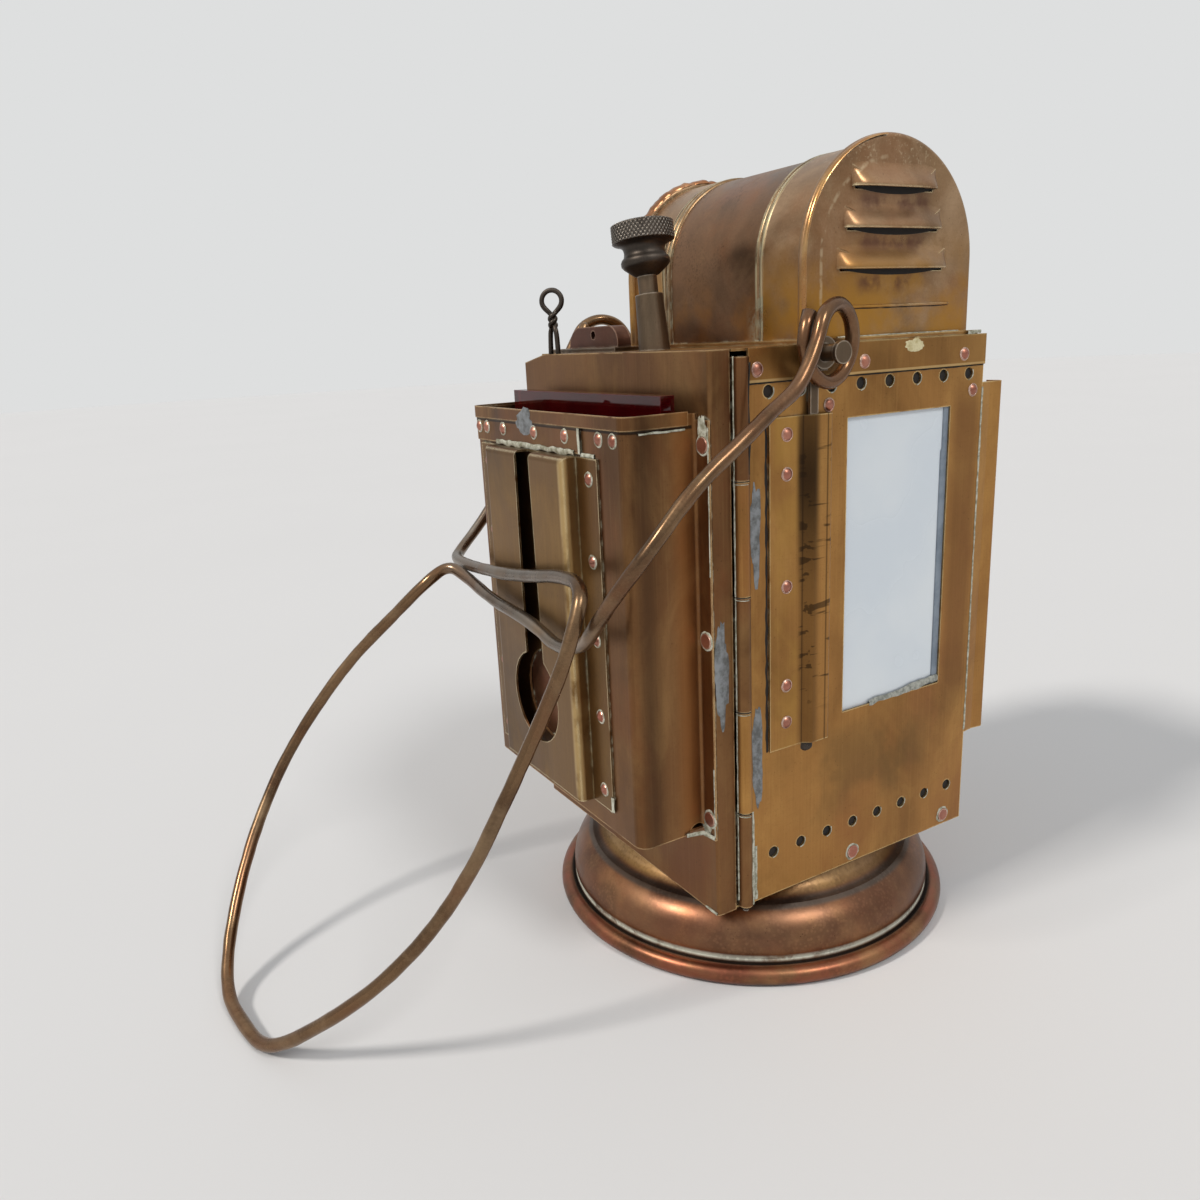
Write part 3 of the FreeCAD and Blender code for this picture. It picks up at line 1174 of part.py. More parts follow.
# Plunger; its parts are made upright and then leant over
def rod_line_x(z):
    return PLUNGER_X + (PLUNGER_BASE_Z - z) * math.tan(math.radians(PLUNGER_LEAN_DEG))


def crank_tip():
    angle = math.radians(CRANK_REST_DEG)
    return CRANK_R * math.cos(angle), SHUTTER_PIVOT_Z + CRANK_R * math.sin(angle)


# The crank's tip at mid stroke lies under the rod's line
def shutter_pivot_x():
    reach, tip_z = crank_tip()
    return rod_line_x(tip_z) - reach


def rod_low_h():
    lean = math.radians(PLUNGER_LEAN_DEG)
    end_z = crank_tip()[1] + CRANK_PAD_R + GAP
    return (end_z - PLUNGER_BASE_Z) / math.cos(lean) + ROD_NOSE_R * math.tan(lean)


def leaning(shape):
    shape = shape.copy()
    shape.rotate(V(0, 0, 0), Y_AXIS, -PLUNGER_LEAN_DEG)
    shape.translate(V(PLUNGER_X, PLUNGER_Y, PLUNGER_BASE_Z))
    return shape


def plunger_tube():
    low = -PLUNGER_BASE_RISE - OVERRUN
    tube = Part.makeCone(TUBE_LOW_R, TUBE_TOP_R, TUBE_TOP_H - low, V(0, 0, low), Z_AXIS)
    bore = rod(0, 0, low - OVERRUN, Z_AXIS, ROD_R + RUNNING, TUBE_TOP_H - low + 2 * OVERRUN)
    whole = leaning(tube.cut(bore))
    below = box(PLUNGER_X - 2 * TUBE_LOW_R, PLUNGER_X + 2 * TUBE_LOW_R, PLUNGER_Y - 2 * TUBE_LOW_R,
                PLUNGER_Y + 2 * TUBE_LOW_R, BODY_TOP - 2 * TUBE_LOW_R, BODY_TOP)
    return whole.cut(below)


def plunger_rod():
    upper = rod(0, 0, ROD_STEP_H, Z_AXIS, ROD_R, KNOB_H - ROD_STEP_H)
    nose_low = rod_low_h()
    nose_top = nose_low + ROD_NOSE_LENGTH
    nose = rod(0, 0, nose_low, Z_AXIS, ROD_NOSE_R, ROD_NOSE_LENGTH)
    lower = rod(0, 0, nose_top, Z_AXIS, THIN_ROD_R, ROD_STEP_H - nose_top)
    collar = rod(0, 0, COLLAR_H - COLLAR_THICK, Z_AXIS, COLLAR_R, COLLAR_THICK)
    return leaning(fused([upper, lower, nose, collar]))


def plunger_knob():
    outline = [
        V(0, 0, KNOB_H), V(ROD_R, 0, KNOB_H), V(BEAD_KNOB_R - HEAD_CHAMFER, 0, BEAD_LOW_H),
        V(BEAD_KNOB_R, 0, (BEAD_LOW_H + BEAD_TOP_H) / 2), V(BEAD_KNOB_R - HEAD_CHAMFER, 0, BEAD_TOP_H),
        V(WAIST_R, 0, WAIST_H), V(HEAD_R - HEAD_CHAMFER, 0, HEAD_LOW_H), V(HEAD_R, 0, HEAD_LOW_H + HEAD_CHAMFER),
        V(HEAD_R, 0, HEAD_TOP_H - HEAD_CHAMFER), V(HEAD_R - HEAD_CHAMFER, 0, HEAD_TOP_H), V(0, 0, HEAD_TOP_H)]
    face = Part.Face(Part.makePolygon(outline + [outline[0]]))
    return leaning(face.revolve(V(0, 0, 0), Z_AXIS, 360))


def plunger_bracket():
    top = -PLUNGER_BASE_RISE + BRACKET_THICK + SHEET
    half = BRACKET_THICK / 2
    plan = [(-BRACKET_HALF, top), (-BRACKET_HALF, BRACKET_H - half), (BRACKET_HALF, BRACKET_H - half),
            (BRACKET_HALF, top)]
    strap_sheet = bent_sheet(plan, [CORNER_R, CORNER_R], BRACKET_THICK, -BRACKET_WIDTH / 2, BRACKET_WIDTH / 2)
    strap_sheet.rotate(V(0, 0, 0), X_AXIS, 90)
    bore = rod(0, 0, BRACKET_H - OVERRUN - BRACKET_THICK, Z_AXIS, THIN_ROD_R + RUNNING, BRACKET_THICK + 2 * OVERRUN)
    hung = leaning(strap_sheet.cut(bore))
    above = box(-BODY_X, BODY_X, -BODY_FRONT, BODY_BACK, BODY_TOP - SHEET, BODY_TOP + BRACKET_HALF)
    return hung.cut(above)


def plunger_spring():
    low = BRACKET_H + SPRING_END + SPRING_WIRE_R
    high = COLLAR_H - COLLAR_THICK - SPRING_END - SPRING_WIRE_R
    helix = Part.makeHelix((high - low) / SPRING_TURNS, high - low, SPRING_R)
    helix.translate(V(0, 0, low))
    section = ring(V(SPRING_R, 0, low), Y_AXIS, SPRING_WIRE_R, SPRING_SIDES)
    spring = Part.Wire(helix.Edges).makePipeShell([section], True, True)
    return leaning(spring)


# Lug for a padlock, on its plate
def top_plate():
    return box(TOP_PLATE_X0, TOP_PLATE_X1, TOP_PLATE_Y0, TOP_PLATE_Y1, BODY_TOP, BODY_TOP + TOP_PLATE_THICK)


def lock_lug():
    base = BODY_TOP + TOP_PLATE_THICK
    shoulder = LOCK_LEFT_R
    bow = math.sqrt(0.5)
    rise = LOCK_TOP - base
    outline = [
        Part.LineSegment(V(LOCK_X0, LOCK_Y0, base), V(LOCK_X1, LOCK_Y0, base)),
        Part.Arc(V(LOCK_X1, LOCK_Y0, base),
                 V(LOCK_FLAT_X1 + LOCK_RIGHT_R * bow, LOCK_Y0, base + rise * bow),
                 V(LOCK_FLAT_X1, LOCK_Y0, LOCK_TOP)),
        Part.LineSegment(V(LOCK_FLAT_X1, LOCK_Y0, LOCK_TOP), V(LOCK_FLAT_X0, LOCK_Y0, LOCK_TOP)),
        Part.Arc(V(LOCK_FLAT_X0, LOCK_Y0, LOCK_TOP),
                 V(LOCK_FLAT_X0 - shoulder * bow, LOCK_Y0, base + rise * bow), V(LOCK_X0, LOCK_Y0, base)),
    ]
    plate = Part.Face(Part.Wire([line.toShape() for line in outline])).extrude(V(0, LOCK_Y1 - LOCK_Y0, 0))
    return plate.cut(rod(LOCK_HOLE_X, LOCK_Y0 - OVERRUN, LOCK_HOLE_Z, Y_AXIS, LOCK_HOLE_R,
                         LOCK_Y1 - LOCK_Y0 + 2 * OVERRUN))


# Oil lamp inside
def font():
    floor = BODY_BOTTOM + SHEET
    drum = rod(BEAM_X, FONT_Y, floor, Z_AXIS, FONT_R, FONT_TOP - floor)
    rims = [e for e in drum.Edges if isinstance(e.Curve, Part.Circle)]
    drum = drum.makeFillet(FONT_EDGE_R, rims)
    dome = Part.makeCone(FONT_R - FONT_EDGE_R, BURNER_R, FONT_DOME, V(BEAM_X, FONT_Y, FONT_TOP), Z_AXIS)
    well = box(BEAM_X - WICK_HALF_X - WICK_SLACK, BEAM_X + WICK_HALF_X + WICK_SLACK,
               FONT_Y - WICK_HALF_Y - WICK_SLACK, FONT_Y + WICK_HALF_Y + WICK_SLACK,
               WICK_BOTTOM - WINDER_WHEEL_R, FONT_TOP + FONT_DOME + OVERRUN)
    return fused([drum, dome]).cut(well)


def wick_gap(z0, z1, grow):
    return box(BEAM_X - WICK_HALF_X - grow, BEAM_X + WICK_HALF_X + grow,
               FONT_Y - WICK_HALF_Y - grow, FONT_Y + WICK_HALF_Y + grow, z0, z1)


def burner():
    base = FONT_TOP + FONT_DOME
    collar = rod(BEAM_X, FONT_Y, base, Z_AXIS, BURNER_R, BURNER_LOW_H)
    neck = Part.makeCone(BURNER_R - WICK_WALL, BURNER_NECK_R, BURNER_TOP - base - BURNER_LOW_H,
                         V(BEAM_X, FONT_Y, base + BURNER_LOW_H), Z_AXIS)
    spindle = rod(BEAM_X - BURNER_R - OVERRUN, FONT_Y - WINDER_OFFSET_Y, WINDER_Z, X_AXIS,
                  WINDER_R + RUNNING, 2 * BURNER_R + 2 * OVERRUN)
    cog_room = WINDER_COG_R + GAP
    room = rod(BEAM_X - WINDER_COG_HALF - GAP, FONT_Y - WINDER_OFFSET_Y, WINDER_Z, X_AXIS, cog_room,
               2 * WINDER_COG_HALF + 2 * GAP)
    return fused([collar, neck]).cut([wick_gap(base - OVERRUN, BURNER_TOP + OVERRUN, WICK_SLACK), spindle, room])


def wick_tube():
    grow = WICK_SLACK + WICK_WALL
    sleeve = wick_gap(BURNER_TOP, TUBE_WICK_TOP, grow)
    return sleeve.cut(wick_gap(BURNER_TOP - OVERRUN, TUBE_WICK_TOP + OVERRUN, WICK_SLACK))


def deflector():
    height = DEFLECTOR_TOP - BURNER_TOP
    outer = Part.makeCone(DEFLECTOR_R, DEFLECTOR_TOP_R + SHEET, height, V(BEAM_X, FONT_Y, BURNER_TOP), Z_AXIS)
    inner = Part.makeCone(DEFLECTOR_R - SHEET, DEFLECTOR_TOP_R, height, V(BEAM_X, FONT_Y, BURNER_TOP), Z_AXIS)
    gallery = rod(BEAM_X, FONT_Y, BURNER_TOP, Z_AXIS, DEFLECTOR_R, SHEET).cut(
        wick_gap(BURNER_TOP - OVERRUN, BURNER_TOP + OVERRUN, WICK_SLACK + WICK_WALL))
    return fused([outer.cut(inner), gallery])


def wick():
    return wick_gap(WICK_BOTTOM, WICK_TOP, 0)


def winder_spindle():
    y = FONT_Y - WINDER_OFFSET_Y
    start = BEAM_X - WINDER_COG_HALF
    shaft = rod(start, y, WINDER_Z, X_AXIS, WINDER_R, WINDER_LENGTH)
    cog = rod(start, y, WINDER_Z, X_AXIS, WINDER_COG_R, 2 * WINDER_COG_HALF)
    wheel = rod(start + WINDER_LENGTH, y, WINDER_Z, X_AXIS, WINDER_WHEEL_R, WINDER_WHEEL_THICK)
    return fused([shaft, cog, wheel])


def reflector():
    ball = (REFLECTOR_R ** 2 + REFLECTOR_DEPTH ** 2) / (2 * REFLECTOR_DEPTH)
    sink = ball - REFLECTOR_DEPTH
    low = math.degrees(math.asin(sink / ball))
    centre = V(BEAM_X, REFLECTOR_Y - ball, BEAM_Z)
    outer = Part.makeSphere(ball, centre, Y_AXIS, low, 90, 360)
    inner = Part.makeSphere(ball, centre - V(0, SHEET, 0), Y_AXIS, -90, 90, 360)
    return outer.cut(inner)


def reflector_stay():
    back = BODY_BACK - SHEET
    foot_y = back - SHEET
    foot_plate = box(BEAM_X - STAY_WIDTH / 2, BEAM_X + STAY_WIDTH / 2, foot_y, back,
                     BEAM_Z - STAY_WIDTH / 2, BEAM_Z + STAY_WIDTH / 2)
    stem = rod(BEAM_X, REFLECTOR_Y, BEAM_Z, Y_AXIS, STAY_R, foot_y - REFLECTOR_Y)
    return foot_plate.fuse(stem)


def door_catch():
    half = SHEET / 2
    flat = -BODY_X - half
    free = flat - GAP
    case_front = -BODY_FRONT + DOOR_DEPTH + DOOR_GAP
    plan = [(flat, CATCH_BACK_Y), (flat, case_front + CATCH_REACH + SHEET), (free, case_front + SHEET),
            (free, -BODY_FRONT + CATCH_REACH)]
    return bent_sheet(plan, [CORNER_R, CORNER_R], SHEET, CATCH_Z, CATCH_Z + CATCH_HEIGHT)


# Bail: one bent wire with an eye round each pin
def eye_points(side, centre_x, centre_z):
    turn = math.radians(EYE_TURN_DEG)
    along = V(-math.sin(turn) * side, math.cos(turn), 0)
    outward = V(math.cos(turn) * side, math.sin(turn), 0)
    centre = V(centre_x * side, EYE_Y, centre_z)
    points = []
    for index in range(EYE_STEPS):
        angle = math.radians(EYE_FIRST_DEG + EYE_STEP_DEG * index)
        shift = EYE_PITCH * EYE_STEP_DEG / 360 * (index - EYE_STEPS + 1)
        points.append(centre + along * (EYE_R * math.cos(angle)) + Z_AXIS * (EYE_R * math.sin(angle))
                      + outward * shift)
    return points


def bail_wire():
    near = eye_points(1, EYE_X, EYE_Z)
    far = eye_points(-1, FAR_EYE_X, FAR_EYE_Z)
    middle = [V(*point) for point in NEAR_ARM + LOWER_BAR + LOOP + UPPER_BAR + FAR_ARM]
    points = near + middle + far[::-1]
    radii = wide_radii(points)
    return wire_tube(points, radii, BAIL_R, BAIL_SIDES)


def build():
    os.makedirs("parts", exist_ok=True)
    save("foot", foot())
    save("floor_plate", floor_plate())
    save("side_b", side_b())
    save("side_d", side_d())
    save("back_sheet", back_sheet())
    save("lid", lid())
    save("hood_base", hood_base())
    save("hood_vault", hood_vault())
    save("hood_cap_b", hood_cap(HOOD_X1, BEAD_B_X, True))
    save("hood_cap_d", hood_cap(HOOD_X0, BEAD_D_X, False))
    save("baffle", baffle())
    save("opal_window", opal_window())
    save("window_frame", window_frame())
    save("strap_b", strap())
    save("strap_d", mirrored_x(strap()))
    save("bail_lug_b", bail_lug())
    save("bail_lug_d", mirrored_x(bail_lug()))
    save("bail_washers", bail_washer(), mirrored_x(bail_washer()))
    save("rail_b", rail())
    save("rail_d", mirrored_x(rail()))
    save("hinge_leaf_case", hinge_leaf_case())
    save("hinge_leaf_door", hinge_leaf_door())
    save("hinge_pin", hinge_pin())
    save("door_catch", door_catch())
    save("door_panel", door_panel())
    save("front_box", front_box())
    save("box_rim", box_rim())
    save("top_strip", top_strip())
    save("hat_panel", hat_panel())
    save("case_dome_rivets", *case_dome_rivets())
    save("case_flat_rivets", *case_flat_rivets())
    save("door_dome_rivets", *door_dome_rivets())
    save("door_flat_rivets", *door_flat_rivets())
    save("red_glass", red_glass())
    save("glass_guides", glass_guide(), mirrored_x(glass_guide()))
    save("shutter_disc", shutter_disc())
    save("shutter_shaft", shutter_shaft())
    save("shutter_bearings", *shutter_bearings())
    save("dark_slide", dark_slide())
    save("slide_guides", slide_guides())
    save("wire_pull", wire_pull())
    save("lens", lens())
    save("lens_ring", lens_ring())
    save("plunger_tube", plunger_tube())
    save("plunger_bracket", plunger_bracket())
    save("plunger_rod", plunger_rod())
    save("plunger_knob", plunger_knob())
    save("plunger_spring", plunger_spring())
    save("top_plate", top_plate())
    save("lock_lug", lock_lug())
    save("font", font())
    save("burner", burner())
    save("wick_tube", wick_tube())
    save("deflector", deflector())
    save("wick", wick())
    save("winder_spindle", winder_spindle())
    save("reflector", reflector())
    save("reflector_stay", reflector_stay())
    save("bail_wire", bail_wire())


build()
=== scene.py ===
import math

import bmesh
import bpy
from mathutils import Matrix, Quaternion, Vector, noise


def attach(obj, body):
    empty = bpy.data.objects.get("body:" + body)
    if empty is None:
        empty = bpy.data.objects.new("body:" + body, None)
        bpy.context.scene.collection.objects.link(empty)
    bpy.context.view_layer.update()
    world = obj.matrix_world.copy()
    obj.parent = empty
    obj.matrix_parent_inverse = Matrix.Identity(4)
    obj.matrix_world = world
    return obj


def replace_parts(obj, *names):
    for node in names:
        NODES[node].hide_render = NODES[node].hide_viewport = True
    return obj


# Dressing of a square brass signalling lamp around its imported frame.
# The frame is in metres; sizes here are written in millimetres and turned over with MM.

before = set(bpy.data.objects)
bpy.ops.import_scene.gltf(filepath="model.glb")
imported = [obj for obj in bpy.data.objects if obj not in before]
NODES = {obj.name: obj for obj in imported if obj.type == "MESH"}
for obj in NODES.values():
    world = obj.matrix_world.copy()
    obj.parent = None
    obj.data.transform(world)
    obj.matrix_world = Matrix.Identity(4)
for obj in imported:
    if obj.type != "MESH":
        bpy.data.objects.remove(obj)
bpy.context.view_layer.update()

MM = 0.001

# Camera, matched to the photograph
CAMERA_PLACE = (305.95, -245.85, 236.36)
CAMERA_TURN = (1.6752034, 0.9118850, -0.7604722)
CAMERA_LENS = 28.72
SENSOR = 36.0

# Light and stage
FLOOR_RADIUS = 6.0
FLOOR_COLOUR = "#DFE0E3"
FLOOR_CLOUD_COLOUR = "#DEDFE2"
BACKDROP_COLOUR = "#DEDFDF"
WORLD_DIFFUSE = 0.50
WORLD_GLOSSY_LOW = 0.62
WORLD_GLOSSY_HIGH = 1.15
SKY_LOW, SKY_HIGH = -0.1, 0.8

# Suns: the way towards each, its strength, its width in degrees and its colour
SUNS = {
    "key": ((-0.05, -1.0, 1.0), 1.75, 9.0, "#FFF9F0"),
    "fill": ((1.0, 0.12, 1.15), 0.95, 16.0, "#FFFDF8"),
}

# Axis of the hood's round top, face of its near cap, and the raised beads across its vault
HOOD_Y, HOOD_Z = 17.5, 257.3
CAP_FACE_X = 60.5
BEAD_PAIRS = (("vault_beads_near", (34.4, 37.0)), ("vault_beads_far", (-21.6, -19.0)))

# Bail: radius of its wire, its eyes (side, X and Z), and the corners that the bent wire rounds
BAIL_R = 2.35
EYE_R = 13.0
EYE_Y = -19.4
NEAR_EYE = (1, 74.0, 231.2)
FAR_EYE = (-1, 74.4, 232.4)
EYE_TURN_DEG = 15.0
EYE_PITCH = 5.4
EYE_STEP_DEG = 45.0
EYE_STEPS = 10
EYE_FIRST_DEG = -230.0
NEAR_ARM = (
    (79.5, -41.0, 219.0), (82.0, -53.0, 213.7), (84.5, -66.0, 206.5), (85.0, -86.0, 193.7),
    (84.0, -102.0, 176.7), (75.0, -109.0, 162.5), (60.0, -108.6, 147.6), (46.0, -103.0, 140.4))
LOWER_BAR = (
    (26.2, -101.5, 133.3), (7.1, -101.5, 138.6), (-29.0, -101.5, 139.9),
    (-51.2, -102.5, 145.4), (-61.0, -106.0, 149.0))
LOOP = (
    (-61.0, -116.5, 143.2), (-70.5, -128.7, 129.0), (-82.8, -144.5, 111.0), (-89.2, -163.7, 87.4),
    (-88.7, -180.0, 65.8), (-81.4, -193.8, 46.0), (-69.6, -205.0, 28.8), (-56.8, -213.0, 15.2),
    (-40.5, -218.6, 4.6), (-21.0, -216.8, 2.5), (0.0, -212.6, 2.5), (20.6, -195.4, 20.3),
    (35.0, -180.0, 37.0), (45.0, -164.0, 56.0), (51.3, -150.5, 76.9), (54.1, -137.0, 101.0),
    (56.2, -127.0, 120.0), (60.1, -120.0, 136.9), (61.2, -115.0, 150.0))
UPPER_BAR = (
    (58.2, -108.5, 163.5), (37.1, -104.0, 162.4), (0.6, -101.5, 154.8),
    (-27.0, -101.5, 151.6), (-72.0, -98.5, 147.6))
FAR_ARM = ((-79.5, -93.0, 150.0), (-82.0, -81.0, 160.0), (-84.0, -62.0, 182.0), (-82.5, -45.0, 210.0))

# Plunger knob; heights run along its leaning axis from the tube's foot
PLUNGER_BASE = (7.9, -46.0, 233.0)
PLUNGER_LEAN_DEG = 7.5


def colour(code):
    """A screen colour as linear light."""
    parts = [int(code[i:i + 2], 16) / 255 for i in (1, 3, 5)]
    return [c / 12.92 if c <= 0.04045 else ((c + 0.055) / 1.055) ** 2.4 for c in parts] + [1.0]


# Material graph
def add_node(tree, kind, inputs=None, **settings):
    """Shader node whose inputs, by name or number, are linked or set; a text is a screen colour."""
    made = tree.nodes.new("ShaderNode" + kind)
    for key, value in settings.items():
        setattr(made, key, value)
    for key, value in (inputs or {}).items():
        if isinstance(value, bpy.types.NodeSocket):
            tree.links.new(value, made.inputs[key])
        elif value is not None:
            made.inputs[key].default_value = colour(value) if isinstance(value, str) else value
    return made


class Graph:
    """Node graph of one material. Lengths are in millimetres, shares run from 0 to 1."""

    def __init__(self, name):
        self.material = bpy.data.materials.new(name)
        self.material.use_nodes = True
        self.tree = self.material.node_tree
        self.tree.nodes.clear()
        self.place = self.node("TexCoord").outputs["Object"]
        self.mm = self.sized(1.0)

    def node(self, kind, inputs=None, **settings):
        return add_node(self.tree, kind, inputs, **settings)

    def sized(self, size, stretch=(1, 1, 1), turn=(0, 0, 0)):
        """Coordinates whose unit is size millimetres, drawn out along the axes by stretch."""
        scale = [1000.0 / size / s for s in stretch]
        inputs = {"Vector": self.place, "Scale": scale, "Rotation": turn}
        return self.node("Mapping", inputs).outputs["Vector"]

    def noise(self, size, detail=4.0, rough=0.55, stretch=(1, 1, 1), warp=0.0, turn=(0, 0, 0)):
        """Cloudy value whose patches are about size wide."""
        inputs = {"Vector": self.sized(size, stretch, turn), "Scale": 1.0, "Detail": detail,
                  "Roughness": rough, "Distortion": warp}
        return self.node("TexNoise", inputs).outputs["Fac"]

    def cells(self, size, stretch=(1, 1, 1)):
        """Distance from the middle of cells about size wide."""
        inputs = {"Vector": self.sized(size, stretch), "Scale": 1.0}
        return self.node("TexVoronoi", inputs).outputs["Distance"]

    def band(self, value, low, high, start=0.0, end=1.0):
        """Smooth step from start below low to end above high."""
        inputs = {"Value": value, "From Min": low, "From Max": high, "To Min": start, "To Max": end}
        return self.node("MapRange", inputs, interpolation_type="SMOOTHSTEP").outputs["Result"]

    def fall(self, value, low, high):
        return self.band(value, low, high, 1.0, 0.0)

    def cloud(self, size, *limits):
        """Patches about size wide, cut by a band."""
        return self.band(self.noise(size), *limits)

    def calc(self, operation, a, b=None, clamp=False):
        return self.node("Math", {0: a, 1: b}, operation=operation, use_clamp=clamp).outputs["Value"]

    def chain(self, operation, values):
        result = values[0]
        for value in values[1:]:
            result = self.calc(operation, result, value)
        return result

    def times(self, *values):
        return self.chain("MULTIPLY", values)

    def plus(self, *values):
        return self.chain("ADD", values)

    def less(self, *values):
        return self.chain("SUBTRACT", values)

    def most(self, *values):
        return self.chain("MAXIMUM", values)

    def mix(self, share, a, b):
        return self.node("Mix", {"Factor": share, 6: a, 7: b}, data_type="RGBA").outputs[2]

    def coats(self, base, *rows):
        """Colours laid over a base in turn, each row a share and its colour."""
        for share, tint in rows:
            base = self.mix(share, base, tint)
        return base

    def axis(self, letter):
        return self.node("SeparateXYZ", {"Vector": self.mm}).outputs[letter]

    def slab(self, letter, low, high, soft):
        """1 between low and high on an axis, fading over soft."""
        rise = self.band(self.axis(letter), low - soft, low + soft)
        fall = self.fall(self.axis(letter), high - soft, high + soft)
        return self.times(rise, fall)

    def edges(self, radius, low=0.01, high=0.16):
        """1 on a sharp edge, 0 on a flat."""
        bevel = self.node("Bevel", {"Radius": radius * MM}, samples=4)
        flat = self.node("NewGeometry")
        dot = self.node("VectorMath", {0: bevel.outputs["Normal"], 1: flat.outputs["Normal"]},
                        operation="DOT_PRODUCT")
        return self.band(self.less(1.0, dot.outputs["Value"]), low, high)

    def crevice(self, reach, low, high):
        """1 deep in a corner, 0 in the open."""
        hidden = self.node("AmbientOcclusion", {"Distance": reach * MM}, samples=6)
        return self.fall(hidden.outputs["AO"], low, high)

    def bump(self, height, strength, distance, normal=None):
        inputs = {"Height": height, "Strength": strength, "Distance": distance * MM, "Normal": normal}
        return self.node("Bump", inputs).outputs["Normal"]

    def shader(self, base, metallic, rough, normal=None, **constant):
        inputs = {"Base Color": base, "Metallic": metallic, "Roughness": rough, "Normal": normal}
        inputs.update({key.replace("_", " "): value for key, value in constant.items()})
        made = self.node("BsdfPrincipled", inputs)
        self.node("OutputMaterial", {"Surface": made.outputs["BSDF"]})
        return self.material


VERDIGRIS = "#C2C3AE"
GRIME = "#1E140D"
SHEET_METAL = 0.9
BRUSH = 0.13
BRUSH_DRAWN, CLOUD_DRAWN = 70, 1.9


def drawn_out(streak, amount):
    """Stretch of a pattern along one axis, or along none where streak is empty."""
    return tuple(amount if letter == streak else 1 for letter in "XYZ")


def tarnish(g, light, mid, dark, blush, streak):
    """Colour of old sheet from clouds, blushes and brushing, with its patches, hairs and grain."""
    drawn = drawn_out(streak, CLOUD_DRAWN)
    cloud = g.noise(58, 5.0, 0.55, drawn, 0.8)
    patch = g.noise(26, 6.0, 0.62, drawn, 0.5)
    flush = g.noise(34, 5.0, 0.6, drawn, turn=(0, 0, 1.1))
    hair = g.noise(0.7, 2.0, 0.5, drawn_out(streak, BRUSH_DRAWN))
    cross = g.noise(0.6, 2.0, 0.5, (9, 9, 1))
    grain = g.noise(0.8, 3.0, 0.65)
    base = g.coats(
        g.mix(g.band(cloud, 0.26, 0.60), dark, mid),
        (g.times(g.band(patch, 0.42, 0.76), 0.65), light),
        (g.times(g.band(flush, 0.47, 0.66), 0.55), blush),
        (g.times(g.band(hair, 0.52, 0.75), BRUSH), light),
        (g.times(g.band(cross, 0.56, 0.72), 0.10), dark),
        (g.times(g.fall(hair, 0.25, 0.48), BRUSH), dark),
        (g.times(g.band(grain, 0.56, 0.74), 0.16), GRIME))
    return base, patch, hair, grain


def aged_metal(name, light, mid, dark, blush, worn, streak="", rough=(0.33, 0.46),
               dents=1.0, salts=0.5, grime=0.8, pits=0.5, extra=None):
    """Old sheet metal: tarnish, pits, bright edges that are worn metal with a painted highlight, dirt and pale
    salts in the corners, and dents.
    """
    g = Graph(name)
    base, patch, hair, grain = tarnish(g, light, mid, dark, blush, streak)
    spots = g.fall(g.cells(2.1), 0.04, 0.15)
    pit = g.times(spots, g.band(g.noise(11, 3.0), 0.50, 0.62), pits)
    # rubbed edges: worn bright metal with a painted highlight
    rubbed_edge_highlight = g.times(g.edges(0.9), g.cloud(9, 0.30, 0.52))
    dirt = g.times(g.crevice(5.0, 0.30, 0.80), g.cloud(11, 0.30, 0.62, 0.45, 1.0), grime)
    pale = g.times(g.crevice(1.4, 0.50, 0.82), g.band(g.noise(5, 5.0, 0.7), 0.47, 0.60), salts)
    base = g.coats(base, (pit, GRIME), (rubbed_edge_highlight, worn), (dirt, GRIME), (pale, VERDIGRIS))
    roughness = g.plus(g.band(patch, 0.32, 0.66, rough[0], rough[1]), g.times(dirt, 0.2),
                       g.times(pale, 0.35), g.times(rubbed_edge_highlight, -0.08))
    metal = g.times(g.less(1.0, g.most(pale, g.times(dirt, 0.6))), SHEET_METAL)
    if extra:
        base, roughness, metal = extra(g, base, roughness, metal)
    normal = g.bump(g.noise(38, 2.0, 0.4), 0.35 * dents, 1.2)
    normal = g.bump(g.noise(7, 3.0, 0.5), 0.12 * dents, 0.25, normal)
    skin = g.plus(g.times(hair, 0.5), g.times(grain, 0.4), g.times(pit, -0.8))
    return g.shader(base, metal, roughness, g.bump(skin, 0.12, 0.10, normal))


# Places on the window side: the lid's skirt, and the strap beside the hinge
SKIRT_Z = (220.4, 231.6)
SKIRT_SHADOW_Z = (219.9, 220.5)
SKIRT_HIGHLIGHT_Z = (220.6, 221.3)
STRAP_X, STRAP_Z = (64.0, 68.0), (92.0, 208.8)
STRAP_GOLD_Y = (-38.0, -27.5)
STRAP_FOLD_SHADE_Y = (-27.0, -20.5)
STRAP_CREASE_SHADE_Y = ((-17.0, -16.3), (-26.0, -25.5))


